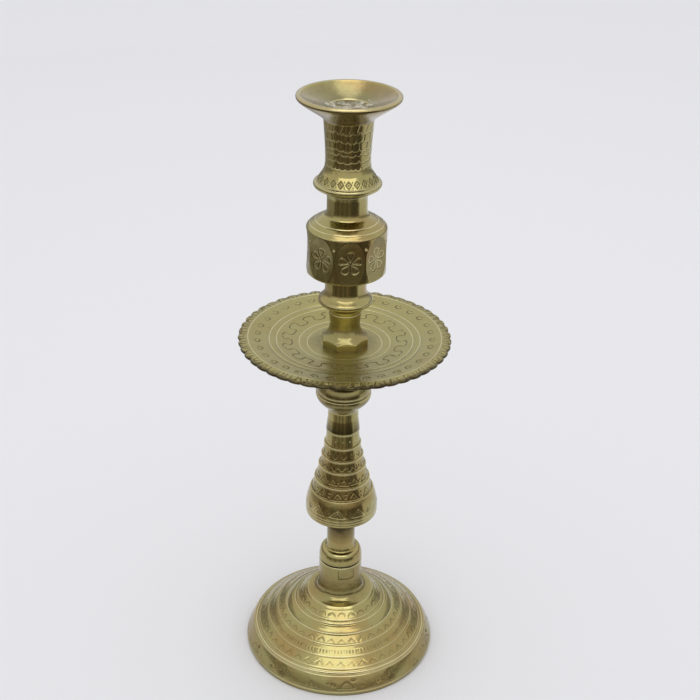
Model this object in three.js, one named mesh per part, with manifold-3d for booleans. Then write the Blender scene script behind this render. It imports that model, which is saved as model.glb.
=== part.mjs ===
// Engraved brass candlestick with a drip tray. Its turned castings screw into one another, one on the next.
// Sizes are in millimetres, +Z is up, and the origin is on the table under the middle of the foot.

import * as THREE from 'three';
import { mergeVertices } from 'three/addons/utils/BufferGeometryUtils.js';
import Module from 'manifold-3d';

// Candle, and how loosely it sits
const CANDLE_D = 22;
const CANDLE_SLACK = 0.5;
const CANDLE_DEPTH = 32;

// Joining screws, each soldered into the piece above its joint
const SCREW_R = 5;
const SCREW_ROOT = 10;
const THREAD_DEPTH = 0.7;
const THREAD_PITCH = 1.5;
const THREAD_TURNS = 6;
const SCREW_TIP = 1;
const RUNNING_GAP = 0.3;
const SOLDER_GAP = 0.15;
const HOLE_RUNOUT = 1.5;

// Walls of the hollow castings
const BASE_WALL = 3;
const BASE_NECK_WALL = 4.5;
const BODY_WALL = 3.5;
const BODY_CORE_WALL = 5;
const CORE_R = 3.6;

// Base: a hollow dome of stepped bands round a neck
const BASE_FOOT_R = 66;
const BASE_FOOT_BULGE = 0.3;
const BASE_LIP_H = 2.5;
const LEAF_BAND_W = 5.1;
const LEAF_BAND_H = 11;
const PAIR_BAND_W = 3;
const PAIR_BAND_H = 1.6;
const LOWER_ZIGZAG_W = 6.4;
const LOWER_ZIGZAG_H = 5;
const HATCH_BAND_W = 6.5;
const HATCH_BAND_H = 5;
const UPPER_ZIGZAG_W = 6.4;
const UPPER_ZIGZAG_H = 3.9;
const PLAIN_BAND_W = 4.9;
const PLAIN_BAND_H = 3.4;
const STEP_BAND_W = 3.5;
const STEP_BAND_H = 1.9;
const SCALLOP_BAND_W = 5.7;
const SCALLOP_BAND_H = 5.2;
const RIDGE_BAND_W = 1.7;
const RIDGE_BAND_H = 1.6;
const BAND_GROOVE = 0.4;
const BASE_NECK_R = 14.8;
const BASE_FLARE_H = 7;
const BASE_NECK_H = 19.9;
const BASE_BOSS_H = 12;
const LEAF_BAND_FULLNESS = 0.65;

// Washer between the base and the stem
const WASHER_T = 1.2;
const WASHER_INSET = 1;

// Stem: a bell of stepped tiers between two beads
const STEM_BEAD_H = 9;
const STEM_BEAD_SIDE_H = 6;
const STEM_BEAD_SHOULDER_R = 13.6;
const STEM_BEAD_TOP_R = 11;
const STEM_COVE_H = 6.5;
const STEM_NECK_R = 9.6;
const STEM_NECK_H = 23.8;
const BELLY_R = 24.2;
const BELLY_UNDER_H = 7.6;
const BELLY_EDGE = 1;
const BELLY_TOP_H = 18.3;
const BELLY_CROWN = 0.8;
const BELL_FOOT_R = 21.3;
const BELL_TOP_R = 11.1;
const BELL_POWER = 1.4;
const TIER_HEIGHTS = [8.8, 10.4, 7.9, 9, 10.4];
const TIER_LEDGE_W = 0.9;
const TIER_LIP = 0.35;
const TIER_LIP_H = 1.8;
const UPPER_NECK_R = 10.1;
const UPPER_NECK_H = 14.3;
const UPPER_NECK_FLARE_H = 8.6;
const UPPER_BEAD_R = 18.1;
const UPPER_BEAD_H = 11.8;
const UPPER_BEAD_TOP_H = 2;
const UPPER_BEAD_SHARE = 0.55;

// Collar that carries the tray
const COLLAR_FOOT_R = 17.4;
const COLLAR_OVOLO_R = 13;
const COLLAR_OVOLO_H = 9.5;
const COLLAR_WAIST_R = 11;
const COLLAR_WAIST_H = 9.5;
const COLLAR_SEAT_R = 17;
const COLLAR_FLARE_H = 12;
const COLLAR_SEAT_H = 2.3;

// Drip tray: a shallow dish with a nicked edge
const TRAY_R = 68;
const TRAY_T = 2;
const TRAY_FLAT_R = 25;
const TRAY_RIM_W = 6;
const TRAY_RISE = 5.4;
const TRAY_RIM_FALL = 0.5;
const TRAY_SCALLOPS = 48;
const TRAY_SCALLOP_DEPTH = 0.7;

// Column: an eight-sided foot, a waist under a sharp ring, and a knop with eight flats
const SIDES = 8;
const BAR_OVERRUN = 1;
const FOOT_CORNER_R = 15.4;
const FOOT_BAND_H = 4.6;
const FOOT_SHARP_H = 0.5;
const WAIST_R = 9.6;
const FOOT_FLARE_H = 10.6;
const RING_UNDER_R = 10.4;
const WAIST_RISE = 8;
const SCOTIA_H = 5.6;
const RING_EDGE_R = 17.1;
const RING_EDGE_T = 2.2;
const RING_EDGE_LEAN = 1;
const KNOP_NECK_R = 13;
const RING_TOP_H = 8.2;
const KNOP_NECK_H = 6.8;
const KNOP_R = 25.4;
const KNOP_EDGE_R = 24.9;
const KNOP_UNDER_H = 5.5;
const KNOP_UNDER_EDGE = 1;
const KNOP_H = 28;
const FLAT_BULGE = 1.1;
const FLAT_TURN = 6;
const SHOULDER_H = 7.5;
const SHOULDER_TOP_R = 14.9;
const TOP_NECK_R = 12.4;
const TOP_NECK_H = 15.2;
const TOP_COVE_H = 6;
const TOP_SEAT_R = 13;
const TOP_SEAT_H = 3;

// Ring between the column and the cup
const CUP_RING_R = 13.5;
const CUP_RING_T = 1.6;

// Cup: a bead, a waisted neck and a wide funnel
const CUP_SEAT_H = 0.8;
const CUP_BEAD_R = 20.8;
const CUP_BEAD_H = 3.1;
const CUP_SHOULDER_R = 19;
const CUP_SHOULDER_H = 1.7;
const CUP_TAPER_R = 15.4;
const CUP_TAPER_H = 5.8;
const CUP_NECK_R = 13.65;
const CUP_NECK_FOOT_H = 8;
const CUP_NECK_TOP_R = 15.05;
const CUP_NECK_H = 24.1;
const CUP_R = 31.3;
const CUP_CONE_H = 12.1;
const CUP_BEND_H = 2.3;
const CUP_FLARE_W = 3.8;
const CUP_FLARE_H = 3;
const CUP_LIP_H = 2.8;
const CUP_LIP_W = 3.5;
const CUP_LIP_ROUND = 0.7;
const FUNNEL_H = 5.5;
const FUNNEL_EDGE = 0.9;

// Where a curve's handle stands, as a share of the curve's own height or spread
const COVE_SHARE = 0.3;
const OVOLO_SHARE = 0.75;
const LEAN_SHARE = 0.06;

// Roundness of the solids
const BASE_FACES = 40;
const STEM_FACES = 32;
const COLUMN_FACES = 40;
const CUP_FACES = 32;
const SCREW_FACES = 12;
const ROWS_PER_PITCH = 3;
const CURVE_STEPS = 4;
const FLAT_STEPS = 6;

// Sizes that follow from the ones above
const SCREW_HOLE_R = SCREW_R + RUNNING_GAP;
const SOLDER_HOLE_R = SCREW_R + SOLDER_GAP;
const THREAD_L = THREAD_PITCH * THREAD_TURNS;
const SCREW_HOLE_DEPTH = THREAD_L + SCREW_TIP + HOLE_RUNOUT;
const BORE_R = (CANDLE_D + CANDLE_SLACK) / 2;

const wasm = await Module();
wasm.setup();

// Turn an outline of radii and heights about the upright axis.
function turned(outline, faces) {
  return new THREE.LatheGeometry(outline.getPoints(CURVE_STEPS), faces).rotateX(Math.PI / 2);
}

// A closed solid for joining and cutting.
function solid(geometry) {
  const bare = geometry.clone();
  bare.deleteAttribute('normal');
  bare.deleteAttribute('uv');
  const merged = mergeVertices(bare, 1e-4);
  const corners = merged.index.array;
  const faces = [];
  for (let i = 0; i < corners.length; i += 3) {
    const [a, b, c] = corners.slice(i, i + 3);
    if (a !== b && b !== c && c !== a) faces.push(a, b, c);
  }
  return new wasm.Manifold(new wasm.Mesh({
    numProp: 3,
    vertProperties: new Float32Array(merged.attributes.position.array),
    triVerts: new Uint32Array(faces),
  }));
}

// The geometry of a solid, ready for a mesh.
function geometryOf(body) {
  const mesh = body.getMesh();
  const geometry = new THREE.BufferGeometry();
  geometry.setAttribute('position', new THREE.BufferAttribute(mesh.vertProperties, 3));
  geometry.setIndex(new THREE.BufferAttribute(mesh.triVerts, 1));
  geometry.computeVertexNormals();
  return geometry;
}

// A named piece of metal, standing at a height on the axis.
function piece(name, geometry, height, color, roughness) {
  const material = new THREE.MeshStandardMaterial({ color, roughness, metalness: 1 });
  const mesh = new THREE.Mesh(geometry, material);
  mesh.name = name;
  mesh.position.z = height;
  return mesh;
}

// The dome's bands from its edge inwards, as how far each one goes in and climbs
const DOME_BANDS = [
  [PAIR_BAND_W, PAIR_BAND_H],
  [LOWER_ZIGZAG_W, LOWER_ZIGZAG_H],
  [HATCH_BAND_W, HATCH_BAND_H],
  [UPPER_ZIGZAG_W, UPPER_ZIGZAG_H],
  [PLAIN_BAND_W, PLAIN_BAND_H],
  [STEP_BAND_W, STEP_BAND_H],
  [SCALLOP_BAND_W, SCALLOP_BAND_H],
  [RIDGE_BAND_W, RIDGE_BAND_H],
];
const DOME_EDGE_R = BASE_FOOT_R - LEAF_BAND_W;
const DOME_EDGE_Z = BASE_LIP_H + LEAF_BAND_H;
const DOME_TOP_R = DOME_BANDS.reduce((r, [width]) => r - width, DOME_EDGE_R);
const DOME_TOP_Z = DOME_BANDS.reduce((z, [, rise]) => z + rise, DOME_EDGE_Z);
const BASE_H = DOME_TOP_Z + BASE_FLARE_H + BASE_NECK_H;

function baseDome() {
  const outline = new THREE.Path();
  const bulgeR = BASE_FOOT_R + BASE_FOOT_BULGE;
  const innerFootR = BASE_FOOT_R - BASE_WALL;
  const leafR = DOME_EDGE_R + LEAF_BAND_W * LEAF_BAND_FULLNESS;
  const crownZ = BASE_H - BASE_BOSS_H;
  const flueR = BASE_NECK_R - BASE_NECK_WALL;
  outline.moveTo(innerFootR, 0);
  outline.lineTo(BASE_FOOT_R, 0);
  outline.lineTo(bulgeR, BASE_LIP_H);
  outline.quadraticCurveTo(leafR, BASE_LIP_H + LEAF_BAND_H / 2, DOME_EDGE_R, DOME_EDGE_Z);
  let r = DOME_EDGE_R;
  let z = DOME_EDGE_Z;
  for (const [width, rise] of DOME_BANDS) {
    outline.lineTo(r - BAND_GROOVE, z);
    r -= width;
    z += rise;
    outline.lineTo(r, z);
  }
  outline.quadraticCurveTo(BASE_NECK_R, z, BASE_NECK_R, z + BASE_FLARE_H);
  outline.lineTo(BASE_NECK_R, BASE_H);
  outline.lineTo(SCREW_HOLE_R, BASE_H);
  outline.lineTo(SCREW_HOLE_R, crownZ);
  outline.lineTo(flueR, crownZ);
  outline.lineTo(flueR, DOME_TOP_Z);
  outline.lineTo(DOME_TOP_R - BASE_WALL / 2, DOME_TOP_Z - BASE_NECK_WALL);
  outline.lineTo(DOME_TOP_R + SCALLOP_BAND_W, DOME_TOP_Z - RIDGE_BAND_H - SCALLOP_BAND_H - BASE_WALL);
  outline.lineTo(DOME_EDGE_R - PAIR_BAND_W - BASE_WALL, DOME_EDGE_Z + PAIR_BAND_H - BASE_WALL);
  outline.lineTo(DOME_EDGE_R - BASE_WALL, DOME_EDGE_Z - BASE_NECK_WALL);
  outline.closePath();
  return turned(outline, BASE_FACES);
}

// A flat ring of one thickness.
function flatRing(outerR, innerR, thickness, faces) {
  const outline = new THREE.Path();
  outline.moveTo(innerR, 0);
  outline.lineTo(outerR, 0);
  outline.lineTo(outerR, thickness);
  outline.lineTo(innerR, thickness);
  outline.closePath();
  return turned(outline, faces);
}

// A screw that hangs below the seat of its own piece: root above, plain shank, thread and tip below.
function screw(shank) {
  const outline = new THREE.Path();
  const threadTop = -shank;
  const threadEnd = threadTop - THREAD_L;
  const coreR = SCREW_R - THREAD_DEPTH;
  const rows = ROWS_PER_PITCH * THREAD_TURNS;
  outline.moveTo(0, threadEnd - SCREW_TIP);
  outline.lineTo(coreR, threadEnd - SCREW_TIP);
  for (let i = 0; i <= rows; i++) {
    outline.lineTo(SCREW_R, threadEnd + (THREAD_L * i) / rows);
  }
  outline.lineTo(SCREW_R, SCREW_ROOT);
  outline.lineTo(0, SCREW_ROOT);
  const geometry = turned(outline, SCREW_FACES);
  const place = geometry.attributes.position;
  for (let i = 0; i < place.count; i++) {
    const x = place.getX(i);
    const y = place.getY(i);
    const z = place.getZ(i);
    const threaded = z > threadEnd - SCREW_TIP / 2 && z < threadTop - THREAD_PITCH / 2;
    if (threaded && Math.hypot(x, y) > coreR) {
      const phase = Math.atan2(y, x) / (2 * Math.PI) - z / THREAD_PITCH;
      const crest = 1 - (THREAD_DEPTH / SCREW_R) * Math.cos(Math.PI * phase) ** 2;
      place.setXY(i, x * crest, y * crest);
    }
  }
  return geometry;
}

const BELLY_Z = STEM_BEAD_H + STEM_NECK_H + BELLY_UNDER_H;
const BELL_Z = BELLY_Z + BELLY_TOP_H;
const BELL_H = TIER_HEIGHTS.reduce((sum, height) => sum + height, 0);
const BELL_TOP_Z = BELL_Z + BELL_H;
const UPPER_BEAD_Z = BELL_TOP_Z + UPPER_NECK_H;
const STEM_H = UPPER_BEAD_Z + UPPER_BEAD_H + UPPER_BEAD_TOP_H;

// Radius of the bell at a height in the stem.
function bellRadius(z) {
  const below = Math.max(BELL_TOP_Z - z, 0) / BELL_H;
  return BELL_TOP_R + (BELL_FOOT_R - BELL_TOP_R) * below ** BELL_POWER;
}

function stem() {
  const outline = new THREE.Path();
  const neckZ = STEM_BEAD_H + STEM_NECK_H;
  const coreTopZ = BELL_TOP_Z - TIER_HEIGHTS.at(-1);
  const flare = UPPER_BEAD_R - UPPER_NECK_R;
  const neckFlareZ = BELL_TOP_Z + UPPER_NECK_FLARE_H;
  outline.moveTo(0, coreTopZ);
  outline.lineTo(bellRadius(coreTopZ) - BODY_CORE_WALL, coreTopZ - BODY_WALL);
  outline.lineTo(BELL_FOOT_R - BODY_CORE_WALL, BELL_Z);
  outline.lineTo(BELLY_R - BODY_CORE_WALL, BELLY_Z + BODY_WALL);
  outline.lineTo(CORE_R, BELLY_Z);
  outline.lineTo(CORE_R, SCREW_ROOT);
  outline.lineTo(SOLDER_HOLE_R, SCREW_ROOT);
  outline.lineTo(SOLDER_HOLE_R, 0);
  outline.lineTo(BASE_NECK_R, 0);
  outline.bezierCurveTo(BASE_NECK_R, STEM_BEAD_SIDE_H, STEM_BEAD_SHOULDER_R, STEM_BEAD_H,
    STEM_BEAD_TOP_R, STEM_BEAD_H);
  outline.quadraticCurveTo(STEM_NECK_R, STEM_BEAD_H, STEM_NECK_R, STEM_BEAD_H + STEM_COVE_H);
  outline.lineTo(STEM_NECK_R, neckZ);
  outline.quadraticCurveTo(STEM_NECK_R, neckZ + BELLY_UNDER_H / 2,
    BELLY_R - BELLY_EDGE, BELLY_Z - BELLY_EDGE);
  outline.lineTo(BELLY_R, BELLY_Z);
  outline.quadraticCurveTo(BELLY_R + BELLY_CROWN, BELLY_Z + BELLY_TOP_H / 2, BELL_FOOT_R, BELL_Z);
  let ledgeR = BELL_FOOT_R;
  let ledgeZ = BELL_Z;
  for (const height of TIER_HEIGHTS) {
    outline.lineTo(ledgeR - TIER_LEDGE_W, ledgeZ);
    ledgeZ += height;
    ledgeR = bellRadius(ledgeZ);
    outline.lineTo(ledgeR - TIER_LIP, ledgeZ - TIER_LIP_H);
    outline.lineTo(ledgeR, ledgeZ - TIER_LIP_H + TIER_LIP);
    outline.lineTo(ledgeR, ledgeZ);
  }
  outline.quadraticCurveTo(UPPER_NECK_R, BELL_TOP_Z + UPPER_NECK_FLARE_H * COVE_SHARE,
    UPPER_NECK_R, neckFlareZ);
  outline.lineTo(UPPER_NECK_R, UPPER_BEAD_Z);
  outline.bezierCurveTo(UPPER_NECK_R + flare * LEAN_SHARE, UPPER_BEAD_Z + UPPER_BEAD_H * COVE_SHARE,
    UPPER_BEAD_R - flare * LEAN_SHARE, UPPER_BEAD_Z + UPPER_BEAD_H * UPPER_BEAD_SHARE,
    UPPER_BEAD_R, UPPER_BEAD_Z + UPPER_BEAD_H);
  outline.lineTo(COLLAR_FOOT_R, STEM_H);
  outline.lineTo(SCREW_HOLE_R, STEM_H);
  outline.lineTo(SCREW_HOLE_R, STEM_H - SCREW_HOLE_DEPTH);
  outline.lineTo(0, STEM_H - SCREW_HOLE_DEPTH);
  return turned(outline, STEM_FACES);
}

const COLLAR_H = COLLAR_OVOLO_H + COLLAR_WAIST_H + COLLAR_FLARE_H + COLLAR_SEAT_H;

function trayCollar() {
  const outline = new THREE.Path();
  const waistZ = COLLAR_OVOLO_H + COLLAR_WAIST_H;
  outline.moveTo(SCREW_HOLE_R, 0);
  outline.lineTo(COLLAR_FOOT_R, 0);
  const coveZ = COLLAR_OVOLO_H + COLLAR_WAIST_H * COVE_SHARE;
  const flareZ = waistZ + COLLAR_FLARE_H;
  outline.quadraticCurveTo(COLLAR_FOOT_R, COLLAR_OVOLO_H * OVOLO_SHARE, COLLAR_OVOLO_R, COLLAR_OVOLO_H);
  outline.quadraticCurveTo(COLLAR_WAIST_R, coveZ, COLLAR_WAIST_R, waistZ);
  outline.quadraticCurveTo(COLLAR_WAIST_R, waistZ + COLLAR_FLARE_H * OVOLO_SHARE, COLLAR_SEAT_R, flareZ);
  outline.lineTo(COLLAR_SEAT_R, COLLAR_H);
  outline.lineTo(SCREW_HOLE_R, COLLAR_H);
  outline.closePath();
  return turned(outline, STEM_FACES);
}

// The dish, with every second point of its edge drawn in to make the nicks.
function dripTray() {
  const outline = new THREE.Path();
  const rimR = TRAY_R - TRAY_RIM_W;
  const rimZ = TRAY_T + TRAY_RISE;
  const edgeZ = rimZ - TRAY_RIM_FALL;
  outline.moveTo(SCREW_HOLE_R, 0);
  outline.lineTo(TRAY_FLAT_R, 0);
  outline.lineTo(rimR, rimZ - TRAY_T);
  outline.lineTo(TRAY_R - TRAY_T / 4, edgeZ - TRAY_T);
  outline.lineTo(TRAY_R, edgeZ - TRAY_T / 2);
  outline.lineTo(TRAY_R - TRAY_T / 4, edgeZ);
  outline.lineTo(rimR, rimZ);
  outline.lineTo(TRAY_FLAT_R, TRAY_T);
  outline.lineTo(SCREW_HOLE_R, TRAY_T);
  outline.closePath();
  const geometry = turned(outline, TRAY_SCALLOPS * 2);
  const place = geometry.attributes.position;
  for (let i = 0; i < place.count; i++) {
    const x = place.getX(i);
    const y = place.getY(i);
    const r = Math.hypot(x, y);
    const step = Math.round((Math.atan2(y, x) / Math.PI) * TRAY_SCALLOPS);
    if (r > TRAY_R - TRAY_T && step % 2 !== 0) {
      const drawn = 1 - TRAY_SCALLOP_DEPTH / r;
      place.setXY(i, x * drawn, y * drawn);
    }
  }
  return geometry;
}

const RING_Z = FOOT_BAND_H + FOOT_FLARE_H + WAIST_RISE + SCOTIA_H;
const KNOP_NECK_Z = RING_Z + RING_EDGE_T + RING_TOP_H;
const KNOP_Z = KNOP_NECK_Z + KNOP_NECK_H + KNOP_UNDER_H;
const KNOP_TOP_Z = KNOP_Z + KNOP_H;
const COLUMN_H = KNOP_TOP_Z + SHOULDER_H + TOP_NECK_H;
const CORNER_SHARE = Math.cos(Math.PI / SIDES);

// An eight-sided bar round the column: its flats cut the foot and, bulging a little, the knop.
function eightSides() {
  const outline = new THREE.Path();
  const footR = FOOT_CORNER_R;
  const clearR = KNOP_R + FOOT_CORNER_R;
  const middleZ = KNOP_Z + KNOP_H / 2;
  outline.moveTo(0, -BAR_OVERRUN);
  outline.lineTo(footR, -BAR_OVERRUN);
  outline.lineTo(footR, FOOT_BAND_H + FOOT_SHARP_H);
  outline.lineTo(clearR, FOOT_BAND_H + FOOT_FLARE_H);
  outline.lineTo(clearR, KNOP_Z - KNOP_UNDER_H);
  for (let i = 0; i <= FLAT_STEPS; i++) {
    const along = (2 * i) / FLAT_STEPS - 1;
    outline.lineTo(KNOP_R + (FLAT_BULGE / CORNER_SHARE) * along * along, middleZ + (along * KNOP_H) / 2);
  }
  outline.lineTo(clearR, KNOP_TOP_Z + SHOULDER_H / 2);
  outline.lineTo(clearR, COLUMN_H + BAR_OVERRUN);
  outline.lineTo(0, COLUMN_H + BAR_OVERRUN);
  const flatToFront = Math.PI / SIDES + THREE.MathUtils.degToRad(FLAT_TURN);
  return turned(outline, SIDES).rotateZ(flatToFront);
}

function column() {
  const outline = new THREE.Path();
  const waistZ = FOOT_BAND_H + FOOT_FLARE_H;
  const ringTopZ = RING_Z + RING_EDGE_T;
  const scotiaZ = RING_Z - SCOTIA_H * COVE_SHARE;
  const knopFootZ = KNOP_NECK_Z + KNOP_NECK_H;
  const shoulderZ = KNOP_TOP_Z + SHOULDER_H;
  const coreR = KNOP_R - BODY_WALL * 2;
  outline.moveTo(0, KNOP_TOP_Z - BODY_WALL);
  outline.lineTo(coreR - BODY_WALL, KNOP_TOP_Z - BODY_WALL);
  outline.lineTo(coreR, KNOP_TOP_Z - BODY_WALL * 2);
  outline.lineTo(coreR, KNOP_Z + BODY_WALL);
  outline.lineTo(CORE_R, KNOP_Z);
  outline.lineTo(CORE_R, SCREW_ROOT);
  outline.lineTo(SOLDER_HOLE_R, SCREW_ROOT);
  outline.lineTo(SOLDER_HOLE_R, 0);
  outline.lineTo(FOOT_CORNER_R, 0);
  outline.lineTo(FOOT_CORNER_R, FOOT_BAND_H);
  outline.quadraticCurveTo(WAIST_R, FOOT_BAND_H + FOOT_FLARE_H * COVE_SHARE, WAIST_R, waistZ);
  outline.lineTo(RING_UNDER_R, waistZ + WAIST_RISE);
  outline.quadraticCurveTo(RING_UNDER_R, scotiaZ, RING_EDGE_R - RING_EDGE_LEAN, RING_Z);
  outline.lineTo(RING_EDGE_R, ringTopZ);
  outline.bezierCurveTo(RING_EDGE_R, ringTopZ + RING_TOP_H * COVE_SHARE,
    KNOP_NECK_R, ringTopZ + RING_TOP_H * COVE_SHARE, KNOP_NECK_R, KNOP_NECK_Z);
  outline.lineTo(KNOP_NECK_R, knopFootZ);
  outline.lineTo(KNOP_EDGE_R - KNOP_UNDER_EDGE, KNOP_Z - KNOP_UNDER_EDGE);
  outline.lineTo(KNOP_EDGE_R, KNOP_Z);
  outline.quadraticCurveTo(KNOP_R * 2 - KNOP_EDGE_R, KNOP_Z + KNOP_H / 2, KNOP_EDGE_R, KNOP_TOP_Z);
  outline.quadraticCurveTo(KNOP_EDGE_R, KNOP_TOP_Z + SHOULDER_H * COVE_SHARE, SHOULDER_TOP_R, shoulderZ);
  outline.quadraticCurveTo(TOP_NECK_R, shoulderZ, TOP_NECK_R, shoulderZ + TOP_COVE_H);
  outline.lineTo(TOP_NECK_R, COLUMN_H - TOP_SEAT_H);
  outline.lineTo(TOP_SEAT_R, COLUMN_H);
  outline.lineTo(SCREW_HOLE_R, COLUMN_H);
  outline.lineTo(SCREW_HOLE_R, COLUMN_H - SCREW_HOLE_DEPTH);
  outline.lineTo(0, COLUMN_H - SCREW_HOLE_DEPTH);
  return geometryOf(solid(turned(outline, COLUMN_FACES)).intersect(solid(eightSides())));
}

function candleCup() {
  const outline = new THREE.Path();
  const beadZ = CUP_SEAT_H + CUP_BEAD_H;
  const shoulderZ = beadZ + CUP_SHOULDER_H;
  const taperZ = shoulderZ + CUP_TAPER_H;
  const neckZ = taperZ + CUP_NECK_FOOT_H;
  const coneZ = neckZ + CUP_NECK_H;
  const lipZ = coneZ + CUP_CONE_H;
  const topZ = lipZ + CUP_LIP_H;
  const lipInnerR = CUP_R - CUP_LIP_W;
  const funnelZ = topZ - FUNNEL_H - FUNNEL_EDGE;
  const floorZ = funnelZ - FUNNEL_EDGE - CANDLE_DEPTH;
  outline.moveTo(0, SCREW_ROOT);
  outline.lineTo(SOLDER_HOLE_R, SCREW_ROOT);
  outline.lineTo(SOLDER_HOLE_R, 0);
  outline.lineTo(TOP_SEAT_R, 0);
  outline.lineTo(TOP_SEAT_R, CUP_SEAT_H);
  outline.quadraticCurveTo(CUP_BEAD_R, CUP_SEAT_H, CUP_BEAD_R, beadZ);
  outline.quadraticCurveTo(CUP_BEAD_R, shoulderZ, CUP_SHOULDER_R, shoulderZ);
  outline.lineTo(CUP_TAPER_R, taperZ);
  outline.quadraticCurveTo(CUP_NECK_R, taperZ + CUP_NECK_FOOT_H * COVE_SHARE, CUP_NECK_R, neckZ);
  outline.quadraticCurveTo(CUP_NECK_R, neckZ + CUP_NECK_H * COVE_SHARE, CUP_NECK_TOP_R, coneZ);
  outline.bezierCurveTo(CUP_NECK_TOP_R, coneZ + CUP_BEND_H, CUP_R - CUP_FLARE_W, lipZ - CUP_FLARE_H,
    CUP_R - CUP_LIP_ROUND, lipZ);
  outline.lineTo(CUP_R, lipZ + CUP_LIP_ROUND);
  outline.lineTo(CUP_R, topZ - CUP_LIP_ROUND);
  outline.lineTo(CUP_R - CUP_LIP_ROUND, topZ);
  outline.lineTo(lipInnerR, topZ);
  outline.lineTo(lipInnerR, topZ - FUNNEL_EDGE);
  outline.lineTo(BORE_R + FUNNEL_EDGE, funnelZ);
  outline.lineTo(BORE_R, funnelZ - FUNNEL_EDGE);
  outline.lineTo(BORE_R, floorZ);
  outline.lineTo(0, floorZ);
  return turned(outline, CUP_FACES);
}

// Heights at which the pieces stand on one another
const STEM_Z = BASE_H + WASHER_T;
const COLLAR_Z = STEM_Z + STEM_H;
const TRAY_Z = COLLAR_Z + COLLAR_H;
const COLUMN_Z = TRAY_Z + TRAY_T;
const CUP_RING_Z = COLUMN_Z + COLUMN_H;
const CUP_Z = CUP_RING_Z + CUP_RING_T;
const WASHER_R = BASE_NECK_R - WASHER_INSET;

const candlestick = new THREE.Group();
candlestick.add(
  piece('base_dome', baseDome(), 0, 0x9a8552, 0.34),
  piece('stem_washer', flatRing(WASHER_R, SCREW_HOLE_R, WASHER_T, STEM_FACES), BASE_H, 0x3c3322, 0.7),
  piece('stem', stem(), STEM_Z, 0x9a8552, 0.32),
  piece('stem_screw', screw(WASHER_T), STEM_Z, 0x8f7c4c, 0.4),
  piece('tray_collar', trayCollar(), COLLAR_Z, 0x8f7b4b, 0.36),
  piece('drip_tray', dripTray(), TRAY_Z, 0xa08b56, 0.33),
  piece('column', column(), COLUMN_Z, 0x9c8754, 0.32),
  piece('column_screw', screw(TRAY_T + COLLAR_H), COLUMN_Z, 0x8f7c4c, 0.4),
  piece('cup_ring', flatRing(CUP_RING_R, SCREW_HOLE_R, CUP_RING_T, STEM_FACES), CUP_RING_Z, 0xa8935c, 0.3),
  piece('candle_cup', candleCup(), CUP_Z, 0x9c8754, 0.32),
  piece('cup_screw', screw(CUP_RING_T), CUP_Z, 0x8f7c4c, 0.4),
);

export default candlestick;
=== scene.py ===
"""Engraved brass candlestick with a drip tray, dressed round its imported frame.

Lengths are millimetres unless a name says otherwise, and angles are degrees. Every piece of metal is turned about
the upright axis, so it is drawn as an outline of radii and heights, spun, cut and then given its finish.
"""

import logging
from dataclasses import dataclass
from enum import Enum
from math import ceil, cos, pi, radians, sin
from typing import Iterable, Sequence

import bmesh
import bpy
import numpy as np
from mathutils import Matrix, Vector, noise


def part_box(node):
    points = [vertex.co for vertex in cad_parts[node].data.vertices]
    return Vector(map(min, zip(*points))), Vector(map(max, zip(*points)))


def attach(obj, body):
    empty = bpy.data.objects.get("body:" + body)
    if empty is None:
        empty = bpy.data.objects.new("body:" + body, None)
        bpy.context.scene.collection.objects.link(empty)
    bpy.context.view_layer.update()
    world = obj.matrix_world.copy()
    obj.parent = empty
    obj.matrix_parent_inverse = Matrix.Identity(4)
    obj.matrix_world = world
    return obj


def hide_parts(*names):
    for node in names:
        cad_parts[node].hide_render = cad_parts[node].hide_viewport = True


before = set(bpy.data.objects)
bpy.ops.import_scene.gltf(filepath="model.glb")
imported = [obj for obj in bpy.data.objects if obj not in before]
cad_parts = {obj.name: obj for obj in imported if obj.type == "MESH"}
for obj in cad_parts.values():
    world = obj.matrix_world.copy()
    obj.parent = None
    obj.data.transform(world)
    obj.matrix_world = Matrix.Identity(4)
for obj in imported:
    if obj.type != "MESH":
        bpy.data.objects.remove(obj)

MM = 0.001
TINY = 1e-9
log = logging.getLogger("candlestick")

Point = tuple[float, float]
Point3 = tuple[float, float, float]
Cut = tuple[Point, Point]


class Body(Enum):
    """The bodies of the frame that pieces ride on."""

    BASE = "base"
    WASHER = "washer"
    STEM = "stem"
    TRAY = "tray"
    COLUMN = "column"
    RING = "ring"
    CUP = "cup"


class Slot(Enum):
    """The material slots of the record."""

    CAST = "cast_brass"
    TRAY = "tray_brass"
    RING = "ring_brass"
    SCREW = "screw_brass"
    LEATHER = "washer_leather"


def meshed(name: str, shape: bmesh.types.BMesh) -> bpy.types.Mesh:
    """Turn a drawn shape into a mesh.

    Args:
        name: name of the mesh.
        shape: the shape, which is freed.

    Returns:
        The mesh.
    """
    mesh = bpy.data.meshes.new(name)
    shape.to_mesh(mesh)
    shape.free()
    return mesh


def linked(name: str, data: bpy.types.ID) -> bpy.types.Object:
    """Put an object in the scene.

    Args:
        name: name of the object.
        data: its mesh, lamp or camera.

    Returns:
        The object.
    """
    thing = bpy.data.objects.new(name, data)
    bpy.context.scene.collection.objects.link(thing)
    return thing


# Outlines


@dataclass(frozen=True)
class Groove:
    """A ring cut round a turned surface.

    Args:
        at: where its middle lies, as a share of the stretch it is cut in.
        width: how wide it is at the surface.
        depth: how deep its middle lies, or below 0 for how high it stands.
    """

    at: float
    width: float = 0.85
    depth: float = 0.15


@dataclass(frozen=True)
class Station:
    """One point of an outline.

    Args:
        radius: distance from the axis.
        height: height above the foot of the piece.
        band: name of the engraved or stained band that it lies in, or nothing.
        along: how far along the band it lies, from the band's middle.
        scraped: 1 at the bottom of a groove and 0 outside it.
        firm: whether a corner here stays as drawn.
    """

    radius: float
    height: float
    band: str = ""
    along: float = 0.0
    scraped: float = 0.0
    firm: bool = False


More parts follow.
